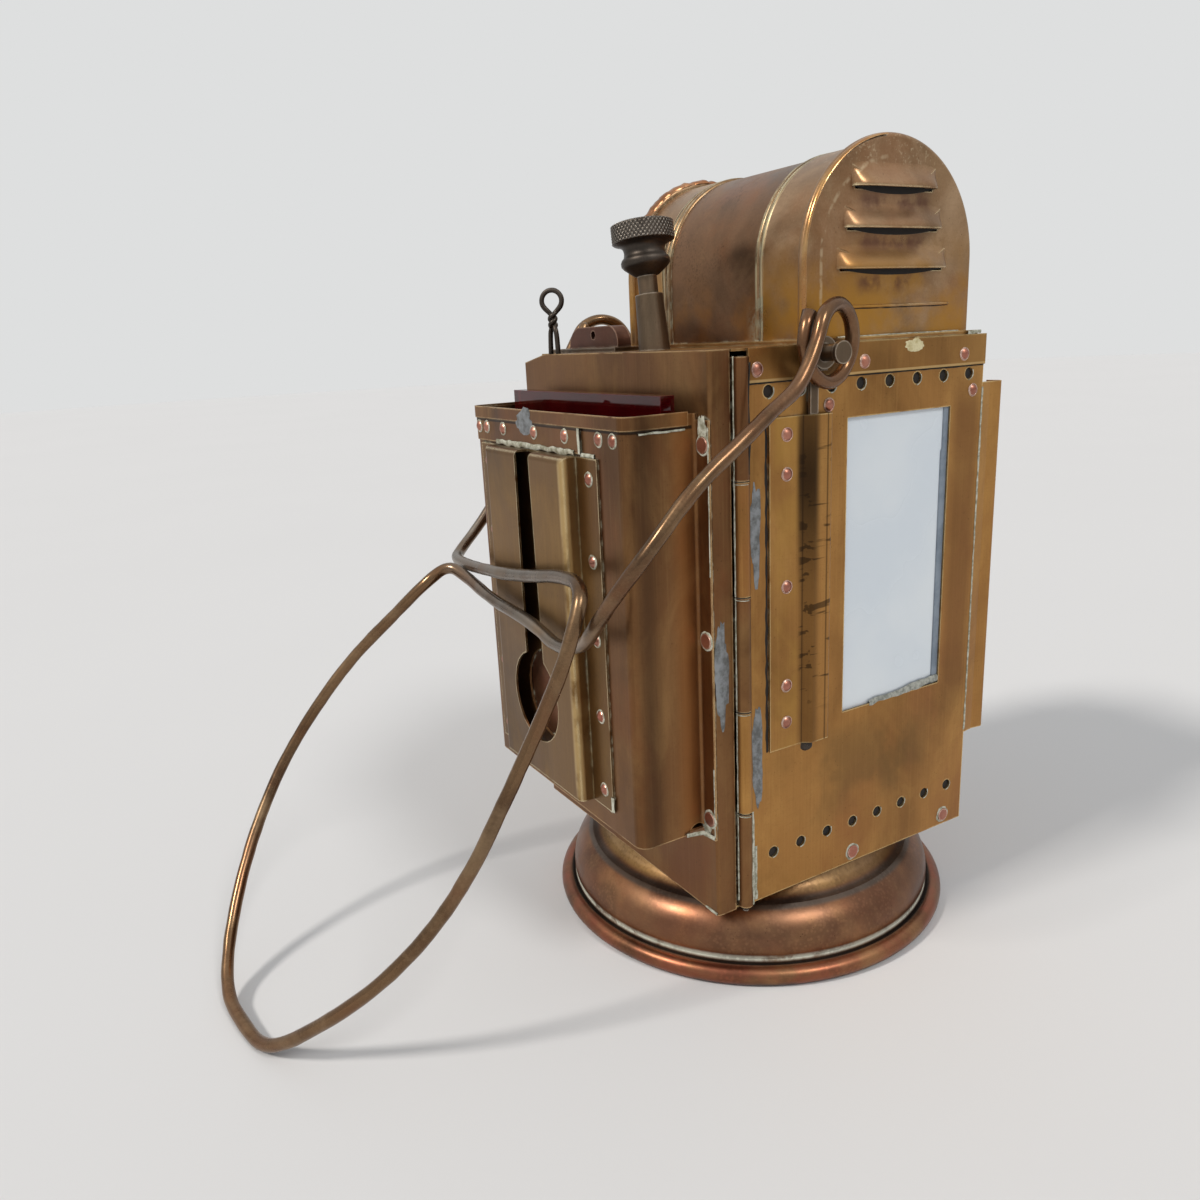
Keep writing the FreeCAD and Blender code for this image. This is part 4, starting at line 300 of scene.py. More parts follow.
def side_brass():
    def marks(g, base, rough, metal):
        # lip: painted highlight along the lower edge of the lid's skirt
        lip = g.times(g.slab("Z", *SKIRT_HIGHLIGHT_Z, 0.15), g.slab("X", 64.0, 66.0, 0.1), 0.55)
        field = g.times(g.slab("Z", 58.0, 92.0, 12.0), g.slab("Y", -30.0, 40.0, 14.0),
                        g.cloud(30, 0.42, 0.62), 0.45)
        right = g.times(g.slab("Y", 49.0, 62.0, 3.0), g.slab("Z", 90.0, 215.0, 12.0), 0.50)
        strap = g.times(g.slab("X", *STRAP_X, 0.1), g.slab("Z", *STRAP_Z, 0.2))
        gold = g.times(strap, g.slab("Y", *STRAP_GOLD_Y, 2.0), g.cloud(26, 0.35, 0.6), 0.45)
        eye_shade = g.times(strap, g.slab("Y", -28.0, -21.0, 1.5), g.slab("Z", 165.0, 212.0, 26.0), 0.85)
        # lines: painted shade in the strap's two creases
        lines = g.times(strap, g.most(*[g.slab("Y", *row, 0.2) for row in STRAP_CREASE_SHADE_Y]), 0.6)
        dry = g.times(strap, g.slab("Y", -27.0, -13.5, 1.0), g.slab("Z", 108.0, 200.0, 8.0))
        cracks = g.band(g.noise(2.4, 2.0, 0.5, (1, 8, 1), warp=0.3), 0.58, 0.64)
        base = g.coats(
            base,
            (g.times(g.slab("Z", *SKIRT_Z, 0.2), 0.30), "#6B4E2A"),
            # painted shadow under the lid's skirt
            (g.times(g.slab("Z", *SKIRT_SHADOW_Z, 0.15), 0.6), "#1E140B"),
            (lip, "#E0BE84"), (field, "#5D4A2C"), (right, "#6B4426"), (gold, "#B58C45"),
            # painted shade along the strap's fold
            (g.times(strap, g.slab("Y", *STRAP_FOLD_SHADE_Y, 1.8), 0.55), "#4A3018"),
            (eye_shade, "#1F140C"), (lines, "#2A1C0E"), (g.times(dry, cracks, 0.7), "#2A1C0E"))
        return base, rough, metal
    return aged_metal("side_brass", "#C89A58", "#A97A43", "#7C562D", "#96633A", "#E6CB93", "Z",
                      salts=0.35, extra=marks)


def door_brass():
    def painted_shade_and_flare(g, base, rough, metal):
        box = g.fall(g.axis("Y"), -66.0, -65.0)
        # side: painted shade on the front box's side near its front corner; flare: orange tone on the box's
        # flare
        side = g.times(g.slab("X", 56.0, 58.0, 0.5), g.slab("Y", -88.0, -81.0, 4.0), 0.55)
        flare = g.times(g.slab("Y", -73.0, -65.0, 4.0), g.slab("X", 54.0, 60.0, 2.0), 0.35)
        # lip: painted shadow under the box's rim band
        lip = g.times(g.slab("Z", 207.5, 208.6, 0.2), box, 0.85)
        return g.coats(base, (side, "#35241A"), (flare, "#A9682F"), (lip, "#20150D")), rough, metal
    return aged_metal("door_brass", "#9F7A4E", "#7E5938", "#5A3D25", "#7A4B2E", "#E0BE8C", "Z",
                      salts=0.6, extra=painted_shade_and_flare)


def hat_brass():
    def shoulder_highlight(g, base, rough, metal):
        # right: painted highlight along the hat's right shoulder
        right = g.times(g.slab("X", 23.2, 26.2, 0.9), g.slab("Z", 74.0, 199.0, 2.0),
                        g.cloud(14, 0.3, 0.55))
        return g.mix(g.times(right, 0.55), base, "#DDBE86"), rough, metal
    return aged_metal("hat_brass", "#9A7848", "#795A34", "#563E24", "#74502F", "#EAD9B0", "Z",
                      rough=(0.30, 0.42), extra=shoulder_highlight)


def arch_distance(g):
    """Millimetres from the hood's middle line, straight below its centre and round above it."""
    across = g.less(g.axis("Y"), HOOD_Y)
    above = g.most(g.less(g.axis("Z"), HOOD_Z), 0.0)
    return g.calc("SQRT", g.plus(g.times(across, across), g.times(above, above)))


def vault_brass():
    def scratched(g, base, rough, metal):
        hatch = g.noise(0.9, 2.0, 0.5, (1, 10, 1), turn=(0.5, 0.0, 0.6))
        lines = g.times(g.band(hatch, 0.53, 0.62), g.band(g.noise(28, 3.0), 0.40, 0.58), 0.45)
        low = g.times(g.fall(g.axis("Z"), 236.0, 262.0),
                      g.cloud(24, 0.40, 0.60), 0.65)
        beads = g.plus(g.slab("X", 32.4, 38.2, 0.5), g.slab("X", -23.2, -17.4, 0.5))
        salt = g.times(beads, g.cloud(5, 0.44, 0.60), g.crevice(1.4, 0.60, 0.97), 0.75)
        crust = g.times(g.slab("Z", 232.0, 244.0, 3.0), g.slab("X", 30.0, 56.0, 3.0),
                        g.band(g.noise(3, 5.0, 0.7), 0.44, 0.58), 0.7)
        base = g.coats(base, (lines, "#3A2B1E"), (low, "#A06A2E"), (salt, VERDIGRIS), (crust, "#8B8A76"))
        rough = g.plus(rough, g.times(lines, 0.1), g.times(crust, 0.3))
        return base, rough, g.calc("SUBTRACT", metal, g.times(g.most(salt, crust), 0.6), True)
    return aged_metal("vault_brass", "#A5805C", "#836146", "#5C432E", "#8A5A38", "#EBD3A6",
                      rough=(0.28, 0.42), extra=scratched)


def bead_brass():
    def crest(g, base, rough, metal):
        crests = g.plus(*[g.slab("X", x - 0.5, x + 0.5, 0.35) for _, places in BEAD_PAIRS for x in places])
        wear = g.times(crests, g.cloud(9, 0.30, 0.55, 0.3, 1.0), 0.7)
        green = g.times(g.cloud(6, 0.50, 0.62), g.band(g.axis("Z"), 232.0, 292.0, 1.0, 0.3), 0.5)
        return g.coats(base, (wear, "#D8CBA4"), (green, "#9DA08A")), rough, metal
    return aged_metal("bead_brass", "#AE8C64", "#86684A", "#5C4530", "#8A5A38", "#F0DDB4",
                      rough=(0.26, 0.38), salts=0.6, dents=0.3, extra=crest)


# Stains round the louvre slits
STAINS_Z = ((247.5, 253.0), (260.5, 265.5), (273.5, 278.5))
STAINS_Y = (2.0, 34.0)
STAIN_SOFT = 2.5


def cap_brass():
    def golden_foot(g, base, rough, metal):
        low = g.times(g.fall(g.axis("Z"), 240.0, 272.0),
                      g.cloud(22, 0.30, 0.6), 0.85)
        slits = g.most(*[g.slab("Z", *row, STAIN_SOFT) for row in STAINS_Z])
        stain = g.times(slits, g.slab("Y", *STAINS_Y, STAIN_SOFT), g.band(g.axis("X"), 52.0, 56.0),
                        g.cloud(8, 0.38, 0.6), 0.7)
        reach = arch_distance(g)
        scuff = g.times(g.band(reach, 31.6, 32.4), g.fall(reach, 32.7, 33.6),
                        g.fall(g.axis("Y"), 10.0, 18.0), g.cloud(4, 0.42, 0.58), 0.38)
        crown = g.times(g.band(g.axis("Z"), 285.0, 291.0), g.band(g.noise(1.8, 4.0, 0.7), 0.56, 0.66), 0.35)
        base = g.coats(base, (low, "#B5812F"), (stain, "#5E3A34"), (g.most(scuff, crown), "#E9D3AE"))
        return base, rough, metal
    return aged_metal("cap_brass", "#C4A584", "#A1805E", "#765A40", "#966A48", "#F2DDB0",
                      rough=(0.27, 0.40), extra=golden_foot)


def foot_copper():
    def bands(g, base, rough, metal):
        height, across, along = g.axis("Z"), g.axis("X"), g.axis("Y")
        radius = g.calc("SQRT", g.plus(g.times(across, across), g.times(along, along)))
        cove = g.band(height, 26.5, 28.0)
        scratch = g.band(g.noise(1.1, 2.0, 0.5, (1, 1, 12)), 0.50, 0.68, 0.35, 1.0)
        swell = g.times(g.cloud(34, 0.42, 0.60), g.band(height, 9.0, 14.0), 0.4)
        rim = g.times(g.band(radius, 78.6, 79.4), g.cloud(18, 0.35, 0.6), 0.6)
        low = g.fall(height, 9.6, 10.4)
        # painted shade in the groove outside the foot's rim bead
        groove_shade = g.times(g.band(radius, 77.0, 77.4), g.fall(radius, 78.3, 79.0), low, 0.92)
        ragged = g.band(g.noise(9, 5.0, 0.7), 0.34, 0.50, 0.35, 1.0)
        salt = g.times(g.band(radius, 75.4, 75.9), g.fall(radius, 76.9, 77.3), low, ragged)
        neck = g.times(g.slab("Z", 24.9, 26.9, 0.5), 0.8)
        mottle = g.times(g.band(g.cells(1.5), 0.25, 0.55), g.band(g.noise(16, 3.0), 0.40, 0.60), 0.25)
        base = g.coats(
            base, (g.times(cove, 0.85), "#9A7A4C"), (g.times(cove, scratch, 0.35), "#5E4326"),
            (swell, "#6B4E40"), (rim, "#94513F"), (groove_shade, "#17120F"), (g.times(salt, 0.95), "#CFD1C3"),
            (neck, "#5B5650"), (mottle, "#3B2A20"))
        rough = g.plus(rough, g.times(salt, 0.3), g.times(cove, 0.12))
        return base, rough, g.calc("SUBTRACT", metal, g.times(salt, 0.8), True)
    return aged_metal("foot_copper", "#AC8259", "#835B41", "#5B402F", "#84523A", "#DDB491",
                      rough=(0.28, 0.40), pits=0.8, salts=0.1, dents=0.4, extra=bands)


def bail_bronze():
    def grey_bars(g, base, rough, metal):
        front = g.band(g.axis("Y"), -112.0, -100.0)
        low = g.times(g.slab("Z", 125.0, 168.0, 3.0), g.slab("X", -90.0, 50.0, 5.0), front)
        wornout = g.cloud(12, 0.35, 0.60, 0.45, 1.0)
        return g.mix(g.times(low, wornout, 0.8), base, "#857F77"), rough, metal
    return aged_metal("bail_bronze", "#A88D6D", "#785D43", "#4D3A2B", "#765038", "#EBD8BC",
                      rough=(0.20, 0.34), salts=0.05, dents=0.6, extra=grey_bars)


def silvered():
    g = Graph("silvered")
    film = g.noise(16, 4.0)
    base = g.mix(g.band(film, 0.4, 0.65), "#C9CACB", "#9A958C")
    normal = g.bump(g.noise(9, 2.0), 0.06, 0.3)
    return g.shader(base, 1.0, g.band(film, 0.35, 0.7, 0.10, 0.28), normal)


def opal_glass():
    g = Graph("opal_glass")
    cloud = g.noise(60, 3.0)
    base = g.mix(g.band(cloud, 0.35, 0.65), "#E3EAF0", "#DAE3EC")
    dust = g.crevice(5.0, 0.45, 0.95)
    base = g.mix(g.times(dust, 0.4), base, "#8E98A6")
    return g.shader(base, 0.0, g.band(cloud, 0.3, 0.7, 0.26, 0.28), None,
                    Coat_Weight=0.3, Coat_Roughness=0.05)


def plain_stone(name, light, dark, size, rough, metallic, strength):
    """Rough crust, solder or dust: cloudy and uneven."""
    g = Graph(name)
    cloud = g.noise(size, 5.0, 0.68)
    base = g.mix(g.band(cloud, 0.36, 0.62), dark, light)
    base = g.mix(g.times(g.band(g.noise(size / 3, 3.0), 0.56, 0.7), 0.3), base, light)
    roughness = g.band(cloud, 0.3, 0.7, rough, rough + 0.15)
    return g.shader(base, metallic, roughness, g.bump(cloud, strength, 0.3))


def red_glass():
    g = Graph("red_glass")
    cloud = g.noise(24, 3.0)
    # edge: painted glint along the glass's edges
    edge = g.edges(0.5, 0.02, 0.2)
    base = g.mix(g.band(cloud, 0.35, 0.7), "#720814", "#54050E")
    base = g.mix(g.times(edge, 0.7), base, "#E0344A")
    return g.shader(base, 0.0, g.band(cloud, 0.3, 0.7, 0.04, 0.10), g.bump(cloud, 0.04, 0.2),
                    Transmission_Weight=0.75, IOR=1.5, Specular_IOR_Level=0.3)


def clear_glass():
    g = Graph("clear_glass")
    cloud = g.noise(18, 3.0)
    base = g.mix(g.band(cloud, 0.4, 0.7), "#EAF2EE", "#DCE9E3")
    return g.shader(base, 0.0, g.band(cloud, 0.4, 0.7, 0.02, 0.07), None, Transmission_Weight=0.95, IOR=1.5)


def wick_cotton():
    g = Graph("wick_cotton")
    warp = g.cells(0.8, stretch=(1, 1, 2.4))
    base = g.mix(g.band(warp, 0.2, 0.6), "#CFC3A6", "#A3957A")
    burnt = g.band(g.axis("Z"), 98.5, 101.0)
    base = g.mix(burnt, base, "#17130F")
    return g.shader(base, 0.0, 0.9, g.bump(warp, 0.6, 0.25))


MATERIALS = {
    "side": side_brass(), "door": door_brass(), "hat": hat_brass(), "vault": vault_brass(),
    "bead": bead_brass(), "cap": cap_brass(), "foot": foot_copper(), "bail": bail_bronze(),
    "silvered": silvered(), "opal": opal_glass(), "red": red_glass(), "clear": clear_glass(),
    "cotton": wick_cotton(),
    "shutter": aged_metal("shutter_copper", "#9A6F52", "#7C543C", "#54392A", "#84503A", "#DAD3C2",
                          rough=(0.32, 0.46), salts=1.0),
    "edge": aged_metal("edge_brass", "#E3C490", "#B98F5C", "#8B6440", "#B0743F", "#FFF0CC",
                       rough=(0.20, 0.32), salts=0.1, dents=0.5, grime=0.3),
    "crumpled": aged_metal("crumpled_copper", "#E2B48C", "#A66F49", "#62402B", "#B4724A", "#FFE6CC",
                           rough=(0.18, 0.30), salts=0.1, dents=4.0, grime=0.4),
    "rivet": aged_metal("rivet_copper", "#CF9D88", "#AC7260", "#7E4C3E", "#A4604C", "#F5D8C8",
                        rough=(0.28, 0.42), salts=0.9, dents=0.3, grime=0.5, pits=0.3),
    "steel": aged_metal("dark_steel", "#635A53", "#443D37", "#292522", "#3E342E", "#A8A096",
                        rough=(0.36, 0.52), salts=0.1, dents=0.2),
    "tube": aged_metal("tube_steel", "#857360", "#665645", "#453A2F", "#604634", "#C5B6A3", "Z",
                       rough=(0.34, 0.48), salts=0.1, dents=0.2),
    "lug": aged_metal("lug_copper", "#84604E", "#5F4237", "#3D2B25", "#6A4032", "#C9A48C",
                      rough=(0.30, 0.44), salts=0.2, dents=0.3),
    "lamp": aged_metal("lamp_brass", "#C09B5C", "#99753F", "#6B4E28", "#8A6234", "#E6CB93",
                       rough=(0.30, 0.44)),
    "solder": plain_stone("solder", "#8F9295", "#626362", 4.0, 0.42, 0.55, 0.5),
    # grey standing in for the painted shadow of the window's edge on the opal glass
    "window_shadow_grey": plain_stone("window_shadow_grey", "#8B96A3", "#74808E", 12.0, 0.40, 0.2, 0.15),
    "putty": plain_stone("putty", "#B4B5AC", "#7E8079", 2.0, 0.70, 0.0, 0.8),
    "salt": plain_stone("salt_crust", "#C9C9BA", "#8A8873", 2.2, 0.80, 0.0, 0.7),
    "paint": plain_stone("paint_chip", "#DDD2A8", "#BBAC7C", 3.0, 0.60, 0.0, 0.4),
    # soot also draws painted shade: lines under the skirt, beside the strap and under the cap's crease, and
    # the black behind the vent holes and louvre slits
    "soot": plain_stone("soot", "#241D17", "#100D0A", 20.0, 0.70, 0.0, 0.2),
}
FINISH = {
    "side": ("side_b", "side_d", "back_sheet", "lid", "floor_plate", "window_frame", "strap_b", "strap_d",
             "rail_b", "rail_d", "hinge_leaf_case", "door_catch", "slide_guides", "glass_guides", "hood_base"),
    "lug": ("lock_lug",),
    "door": ("door_panel", "hinge_leaf_door", "front_box", "box_rim", "top_strip"),
    "shutter": ("shutter_disc",),
    "hat": ("hat_panel",),
    "vault": ("hood_vault",),
    "cap": ("hood_cap_b", "hood_cap_d", "baffle"),
    "foot": ("foot",),
    "rivet": ("case_dome_rivets", "case_flat_rivets", "door_dome_rivets", "door_flat_rivets"),
    "steel": ("hinge_pin", "wire_pull", "plunger_knob", "plunger_spring", "shutter_shaft"),
    "tube": ("plunger_tube", "plunger_rod", "plunger_bracket", "bail_lug_b", "bail_lug_d", "bail_washers",
             "top_plate", "shutter_bearings"),
    "bail": ("bail_wire",),
    "lamp": ("font", "burner", "wick_tube", "deflector", "winder_spindle", "lens_ring", "reflector_stay"),
    "silvered": ("reflector",), "opal": ("opal_window",), "red": ("red_glass",), "clear": ("lens",),
    "cotton": ("wick",), "soot": ("dark_slide",),
}


def placed(name, data):
    obj = bpy.data.objects.new(name, data)
    bpy.context.scene.collection.objects.link(obj)
    return obj


def dress(obj, material):
    obj.data.materials.clear()
    obj.data.materials.append(MATERIALS[material])


def dress_frame():
    for material, names in FINISH.items():
        for name in names:
            dress(NODES[name], material)


def piece(name, mesh, material, body, smooth=True):
    obj = placed(name, mesh)
    dress(obj, material)
    for polygon in mesh.polygons:
        polygon.use_smooth = smooth
    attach(obj, body)
    return obj


def mesh_of(name, points, faces):
    mesh = bpy.data.meshes.new(name)
    mesh.from_pydata([tuple(Vector(p) * MM) for p in points], [], faces)
    mesh.validate()
    mesh.update()
    return mesh


def turns(count):
    """Angles of count equal steps round a circle."""
    return [2 * math.pi * step / count for step in range(count)]


def loop_faces(rings, sides):
    """Faces between closed rings of points that follow one another."""
    faces = []
    for start in range(0, (rings - 1) * sides, sides):
        for step in range(sides):
            after = (step + 1) % sides
            faces.append((start + step, start + after, start + sides + after, start + sides + step))
    return faces


def strip_faces(rows, width):
    """Faces between open rows of points that follow one another."""
    faces = []
    for start in range(0, (rows - 1) * width, width):
        for low in range(start, start + width - 1):
            faces.append((low, low + 1, low + width + 1, low + width))
    return faces


def joined_mesh(name, parts):
    points, faces = [], []
    for part_points, part_faces in parts:
        start = len(points)
        points += part_points
        faces += [tuple(start + index for index in face) for face in part_faces]
    return mesh_of(name, points, faces)


# Bail: a round wire bent by hand
def eye_points(side, centre_x, centre_z):
    turn = math.radians(EYE_TURN_DEG)
    along = Vector((-math.sin(turn) * side, math.cos(turn), 0))
    outward = Vector((math.cos(turn) * side, math.sin(turn), 0))
    centre = Vector((centre_x * side, EYE_Y, centre_z))
    points = []
    for index in range(EYE_STEPS):
        angle = math.radians(EYE_FIRST_DEG + EYE_STEP_DEG * index)
        shift = EYE_PITCH * (index - EYE_STEPS + 1) / (360 / EYE_STEP_DEG)
        points.append(centre + along * (EYE_R * math.cos(angle)) + Vector((0, 0, EYE_R * math.sin(angle)))
                      + outward * shift)
    return points


def wire_line(points, steps=8):
    """Centre line of a wire through rounded corners: arcs of a curve whose handles are the corners."""
    line = [Vector(points[0])]
    ends = [(Vector(a) + Vector(b)) / 2 for a, b in zip(points, points[1:])]
    for start, corner, end in zip(ends, points[1:], ends[1:]):
        for step in range(steps):
            share = step / steps
            line.append(start * (1 - share) ** 2 + Vector(corner) * 2 * share * (1 - share) + end * share ** 2)
    line.append(ends[-1])
    line.append(Vector(points[-1]))
    return line


def tube_mesh(name, line, radius, sides, roughen, patch):
    """Round tube along a line, its ends domed, its skin uneven by roughen millimetres."""
    points, faces = [], loop_faces(len(line), sides)
    across = None
    for index, centre in enumerate(line):
        ahead = (line[min(index + 1, len(line) - 1)] - line[max(index - 1, 0)]).normalized()
        if across is None:
            across = ahead.orthogonal().normalized()
        across = (across - ahead * across.dot(ahead)).normalized()
        other = ahead.cross(across)
        for angle in turns(sides):
            way = across * math.cos(angle) + other * math.sin(angle)
            bulge = noise.noise((centre + way * radius) / patch) * roughen
            points.append(centre + way * (radius + bulge))
    for ring_index, way in ((0, -1), (len(line) - 1, 1)):
        near = line[ring_index]
        far = line[ring_index - 1] if ring_index else line[1]
        points.append(near + (near - far).normalized() * radius * 0.5)
        base = ring_index * sides
        for step in range(sides):
            trio = (base + step, base + (step + 1) % sides, len(points) - 1)
            faces.append(trio if way > 0 else trio[::-1])
    return mesh_of(name, points, faces)


def build_bail():
    middle = [Vector(p) for p in NEAR_ARM + LOWER_BAR + LOOP + UPPER_BAR + FAR_ARM]
    line = wire_line(eye_points(*NEAR_EYE) + middle + eye_points(*FAR_EYE)[::-1])
    mesh = tube_mesh("bail", line, BAIL_R, 20, 0.22, 7.0)
    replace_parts(piece("bail", mesh, "bail", "bail"), "bail_wire")


# Knob with a knurled head: radius and height of its turned profile, then its head
KNOB_PROFILE = (
    (3.5, 24.2), (4.6, 24.6), (6.4, 26.0), (8.0, 27.3), (8.75, 28.2), (8.8, 29.4), (8.4, 30.3), (7.7, 30.9),
    (7.4, 31.9), (7.35, 33.0), (7.7, 34.2), (8.7, 35.1), (10.1, 35.7), (10.9, 35.9))
HEAD_LOW, HEAD_TOP, HEAD_R = 36.2, 42.0, 11.1
KNURL_TEETH = 44
KNURL_ROWS = 3
KNURL_DEPTH = 0.55
KNURL_SIDES, KNURL_STEPS = 8, 18


def knurl(angle, share):
    """Height of crossed grooves round the head, from 0 to 1."""
    teeth = KNURL_TEETH * angle / (2 * math.pi)
    return min(abs(((teeth + lean * share * KNURL_ROWS) % 1.0) - 0.5) * 2 for lean in (1, -1))


def build_knob():
    sides = KNURL_TEETH * KNURL_SIDES
    rings = [(r, h, 0.0) for r, h in KNOB_PROFILE]
    for index in range(KNURL_STEPS + 1):
        share = index / KNURL_STEPS
        rings.append((HEAD_R, HEAD_LOW + (HEAD_TOP - HEAD_LOW) * share, 1.0))
    rings += [(HEAD_R - 0.8, HEAD_TOP + 0.35, 0.4), (HEAD_R - 1.8, HEAD_TOP + 0.4, 0.0),
              (HEAD_R - 3.0, HEAD_TOP + 0.1, 0.0), (4.0, HEAD_TOP - 0.1, 0.0), (0.01, HEAD_TOP, 0.0)]
    lean = Matrix.Rotation(-math.radians(PLUNGER_LEAN_DEG), 3, "Y")
    base = Vector(PLUNGER_BASE)
    points = []
    for radius, height, depth in rings:
        share = (height - HEAD_LOW) / (HEAD_TOP - HEAD_LOW)
        for angle in turns(sides):
            r = radius + depth * KNURL_DEPTH * (knurl(angle, share) - 0.6)
            points.append(base + lean @ Vector((r * math.cos(angle), r * math.sin(angle), height)))
    mesh = mesh_of("knob", points, loop_faces(len(rings), sides))
    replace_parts(piece("knob", mesh, "steel", "plunger"), "plunger_knob")


# Patches of solder, salts and paint: thin uneven islands on a surface
def patch_mesh(name, centre, out, up, width, height, thick, seed, ragged=0.35):
    rings, spokes = 7, 40
    out = Vector(out).normalized()
    up = Vector(up).normalized()
    side = up.cross(out).normalized()
    centre = Vector(centre)
    points = [centre + out * thick]
    for share in [ring / rings for ring in range(1, rings + 1)]:
        for angle in turns(spokes):
            way = Vector((math.cos(angle), math.sin(angle), 0))
            wander = 1 + ragged * noise.fractal(way * 1.7 + Vector((seed, 0, seed)), 1.0, 2.0, 4)
            place = side * (way.x * width / 2 * wander * share) + up * (way.y * height / 2 * wander * share)
            swell = thick * (1 - share ** 3) * (0.75 + 0.5 * noise.noise((centre + place) / 3.0))
            points.append(centre + place + out * (swell - 0.05))
    faces = [(0, 1 + spoke, 1 + (spoke + 1) % spokes) for spoke in range(spokes)]
    faces += [(1 + a, 1 + d, 1 + c, 1 + b) for a, b, c, d in loop_faces(rings, spokes)]
    return mesh_of(name, points, faces)


PX, PY, MY, PZ = (1, 0, 0), (0, 1, 0), (0, -1, 0), (0, 0, 1)

# Patches: name, centre, way out, way up, width, height, thickness, seed, material, body
PATCHES = (
    ("solder_box", (-10.0, -91.5, 208.5), MY, PZ, 13.0, 9.0, 0.35, 1, "solder", "front_door"),
    ("solder_flange", (63.6, -60.6, 127.0), PX, PZ, 6.2, 36.0, 0.45, 2, "solder", "front_door"),
    ("salt_flange_top", (60.2, -64.4, 206.0), MY, PZ, 4.6, 11.0, 0.2, 8, "salt", "front_door"),
    ("salt_flange_foot", (58.8, -64.4, 69.0), MY, PZ, 5.0, 8.0, 0.2, 9, "salt", "front_door"),
    ("solder_hinge_upper", (63.6, -45.6, 172.0), PX, PZ, 4.6, 34.0, 0.4, 3, "solder", "case"),
    ("solder_hinge_lower", (63.6, -45.2, 92.0), PX, PZ, 5.4, 36.0, 0.4, 4, "solder", "case"),
    ("paint_chip", (64.3, 25.7, 228.8), PX, PZ, 11.5, 5.0, 0.2, 7, "paint", "case"),
)


def build_patches():
    for name, *shape, material, body in PATCHES:
        piece(name, patch_mesh(name, *shape), material, body)


# Crusts: thin uneven ribbons that follow a lap or an edge
CRUST_STEADY = 0.45
CRUST_STEP = 1.3
CRUST_SEEDS = range(12, 99)
CRUST_SECTION = (-1.0, -0.5, 0.5, 1.0)


def crust_points(route, out, width, thick, seed):
    out = Vector(out).normalized()
    stops = [Vector(p) for p in route]
    line = []
    for start, end in zip(stops, stops[1:]):
        count = max(2, int((end - start).length / CRUST_STEP))
        line += [start.lerp(end, step / count) for step in range(count)]
    line.append(stops[-1])
    points = []
    for index, centre in enumerate(line):
        ahead = (line[min(index + 1, len(line) - 1)] - line[max(index - 1, 0)]).normalized()
        side = ahead.cross(out).normalized()
        value = 0.5 + 0.5 * noise.fractal(centre / 6.0 + Vector((seed * 3.1, 0, 0)), 1.0, 2.0, 4)
        half = width / 2 * max(0.05, CRUST_STEADY + (1.4 - CRUST_STEADY) * value)
        lift = thick * (0.5 + 0.8 * value)
        drift = side * (width * 0.25 * noise.noise(centre / 4.0 + Vector((0, seed * 2.3, 0))))
        for share, rise in zip(CRUST_SECTION, (-0.05, lift, lift * 0.9, -0.05)):
            points.append(centre + drift + side * (half * share) + out * rise)
    return points, strip_faces(len(line), len(CRUST_SECTION))


def arc_route(centre, radius, first_deg, last_deg, across, up, steps):
    route = []
    for step in range(steps + 1):
        angle = math.radians(first_deg + (last_deg - first_deg) * step / steps)
        route.append(Vector(centre) + Vector(across) * (radius * math.cos(angle))
                     + Vector(up) * (radius * math.sin(angle)))
    return route


KNUCKLE_JOINTS = (72.8, 111.0, 151.6, 190.0)
KNUCKLE_R = 2.64
HINGE_X, HINGE_Y, HINGE_FRONT_Y = 64.6, -52.0, -54.6
# Rows of vent holes: Y of the first, pitch and height
VENT_ROWS = ((-38.2, 13.22, 51.8), (-40.0, 13.66, 217.4))
VENT_COUNT = 8
VENT_R = 2.1


def vent_places():
    return [(first + pitch * index, z) for first, pitch, z in VENT_ROWS for index in range(VENT_COUNT)]


def disc_points(centre, radius, steps=20):
    ring = [Vector((0, radius * math.cos(turn), radius * math.sin(turn))) for turn in turns(steps)]
    return [Vector(centre) + place for place in ring], [tuple(range(steps))]


# Black discs in the vent holes: painted shade for the dark inside of the lamp
def build_vent_hole_shade():
    parts = [disc_points((62.75, y, z), VENT_R - 0.05) for y, z in vent_places()]
    piece("vent_hole_shade", joined_mesh("vent_hole_shade", parts), "soot", "case", smooth=False)


def knuckle_arcs(drop, first_deg, last_deg, width):
    routes = [arc_route((HINGE_X, HINGE_Y, z - drop), KNUCKLE_R, first_deg, last_deg, PX, PY, 16)
              for z in KNUCKLE_JOINTS]
    return [(route, PZ, width, 0.15) for route in routes]


# Rows of a crust: route, way out of the surface, width and thickness
DOOR_SALTS = (
    (((29.2, -91.5, 208.4), (29.2, -91.5, 200.0)), MY, 1.3, 0.25),
    (((29.2, -90.8, 199.8), (38.0, -90.8, 199.6)), MY, 1.6, 0.25),
    (((-35.0, -91.6, 200.2), (26.0, -91.6, 200.2)), MY, 2.2, 0.3),
    (((57.2, -86.0, 207.4), (57.2, -68.5, 207.4)), PX, 0.7, 0.15),
    (((63.4, -64.4, 66.0), (63.4, -64.4, 92.0)), MY, 0.6, 0.12),
    (((63.4, -64.4, 160.0), (63.4, -64.4, 208.0)), MY, 0.6, 0.12),
    (((39.9, -91.5, 74.5), (39.9, -91.5, 80.0)), MY, 2.2, 0.3),
    (((31.0, -90.9, 74.0), (39.0, -90.9, 74.0)), MY, 1.6, 0.3),
    (((57.3, -72.0, 66.6), (58.6, -66.0, 66.2), (63.2, -64.4, 65.6)), (0.7, -0.7, 0), 1.8, 0.3),
    (((56.0, -63.7, 34.8), (63.0, -63.7, 34.8)), MY, 1.0, 0.2),
)
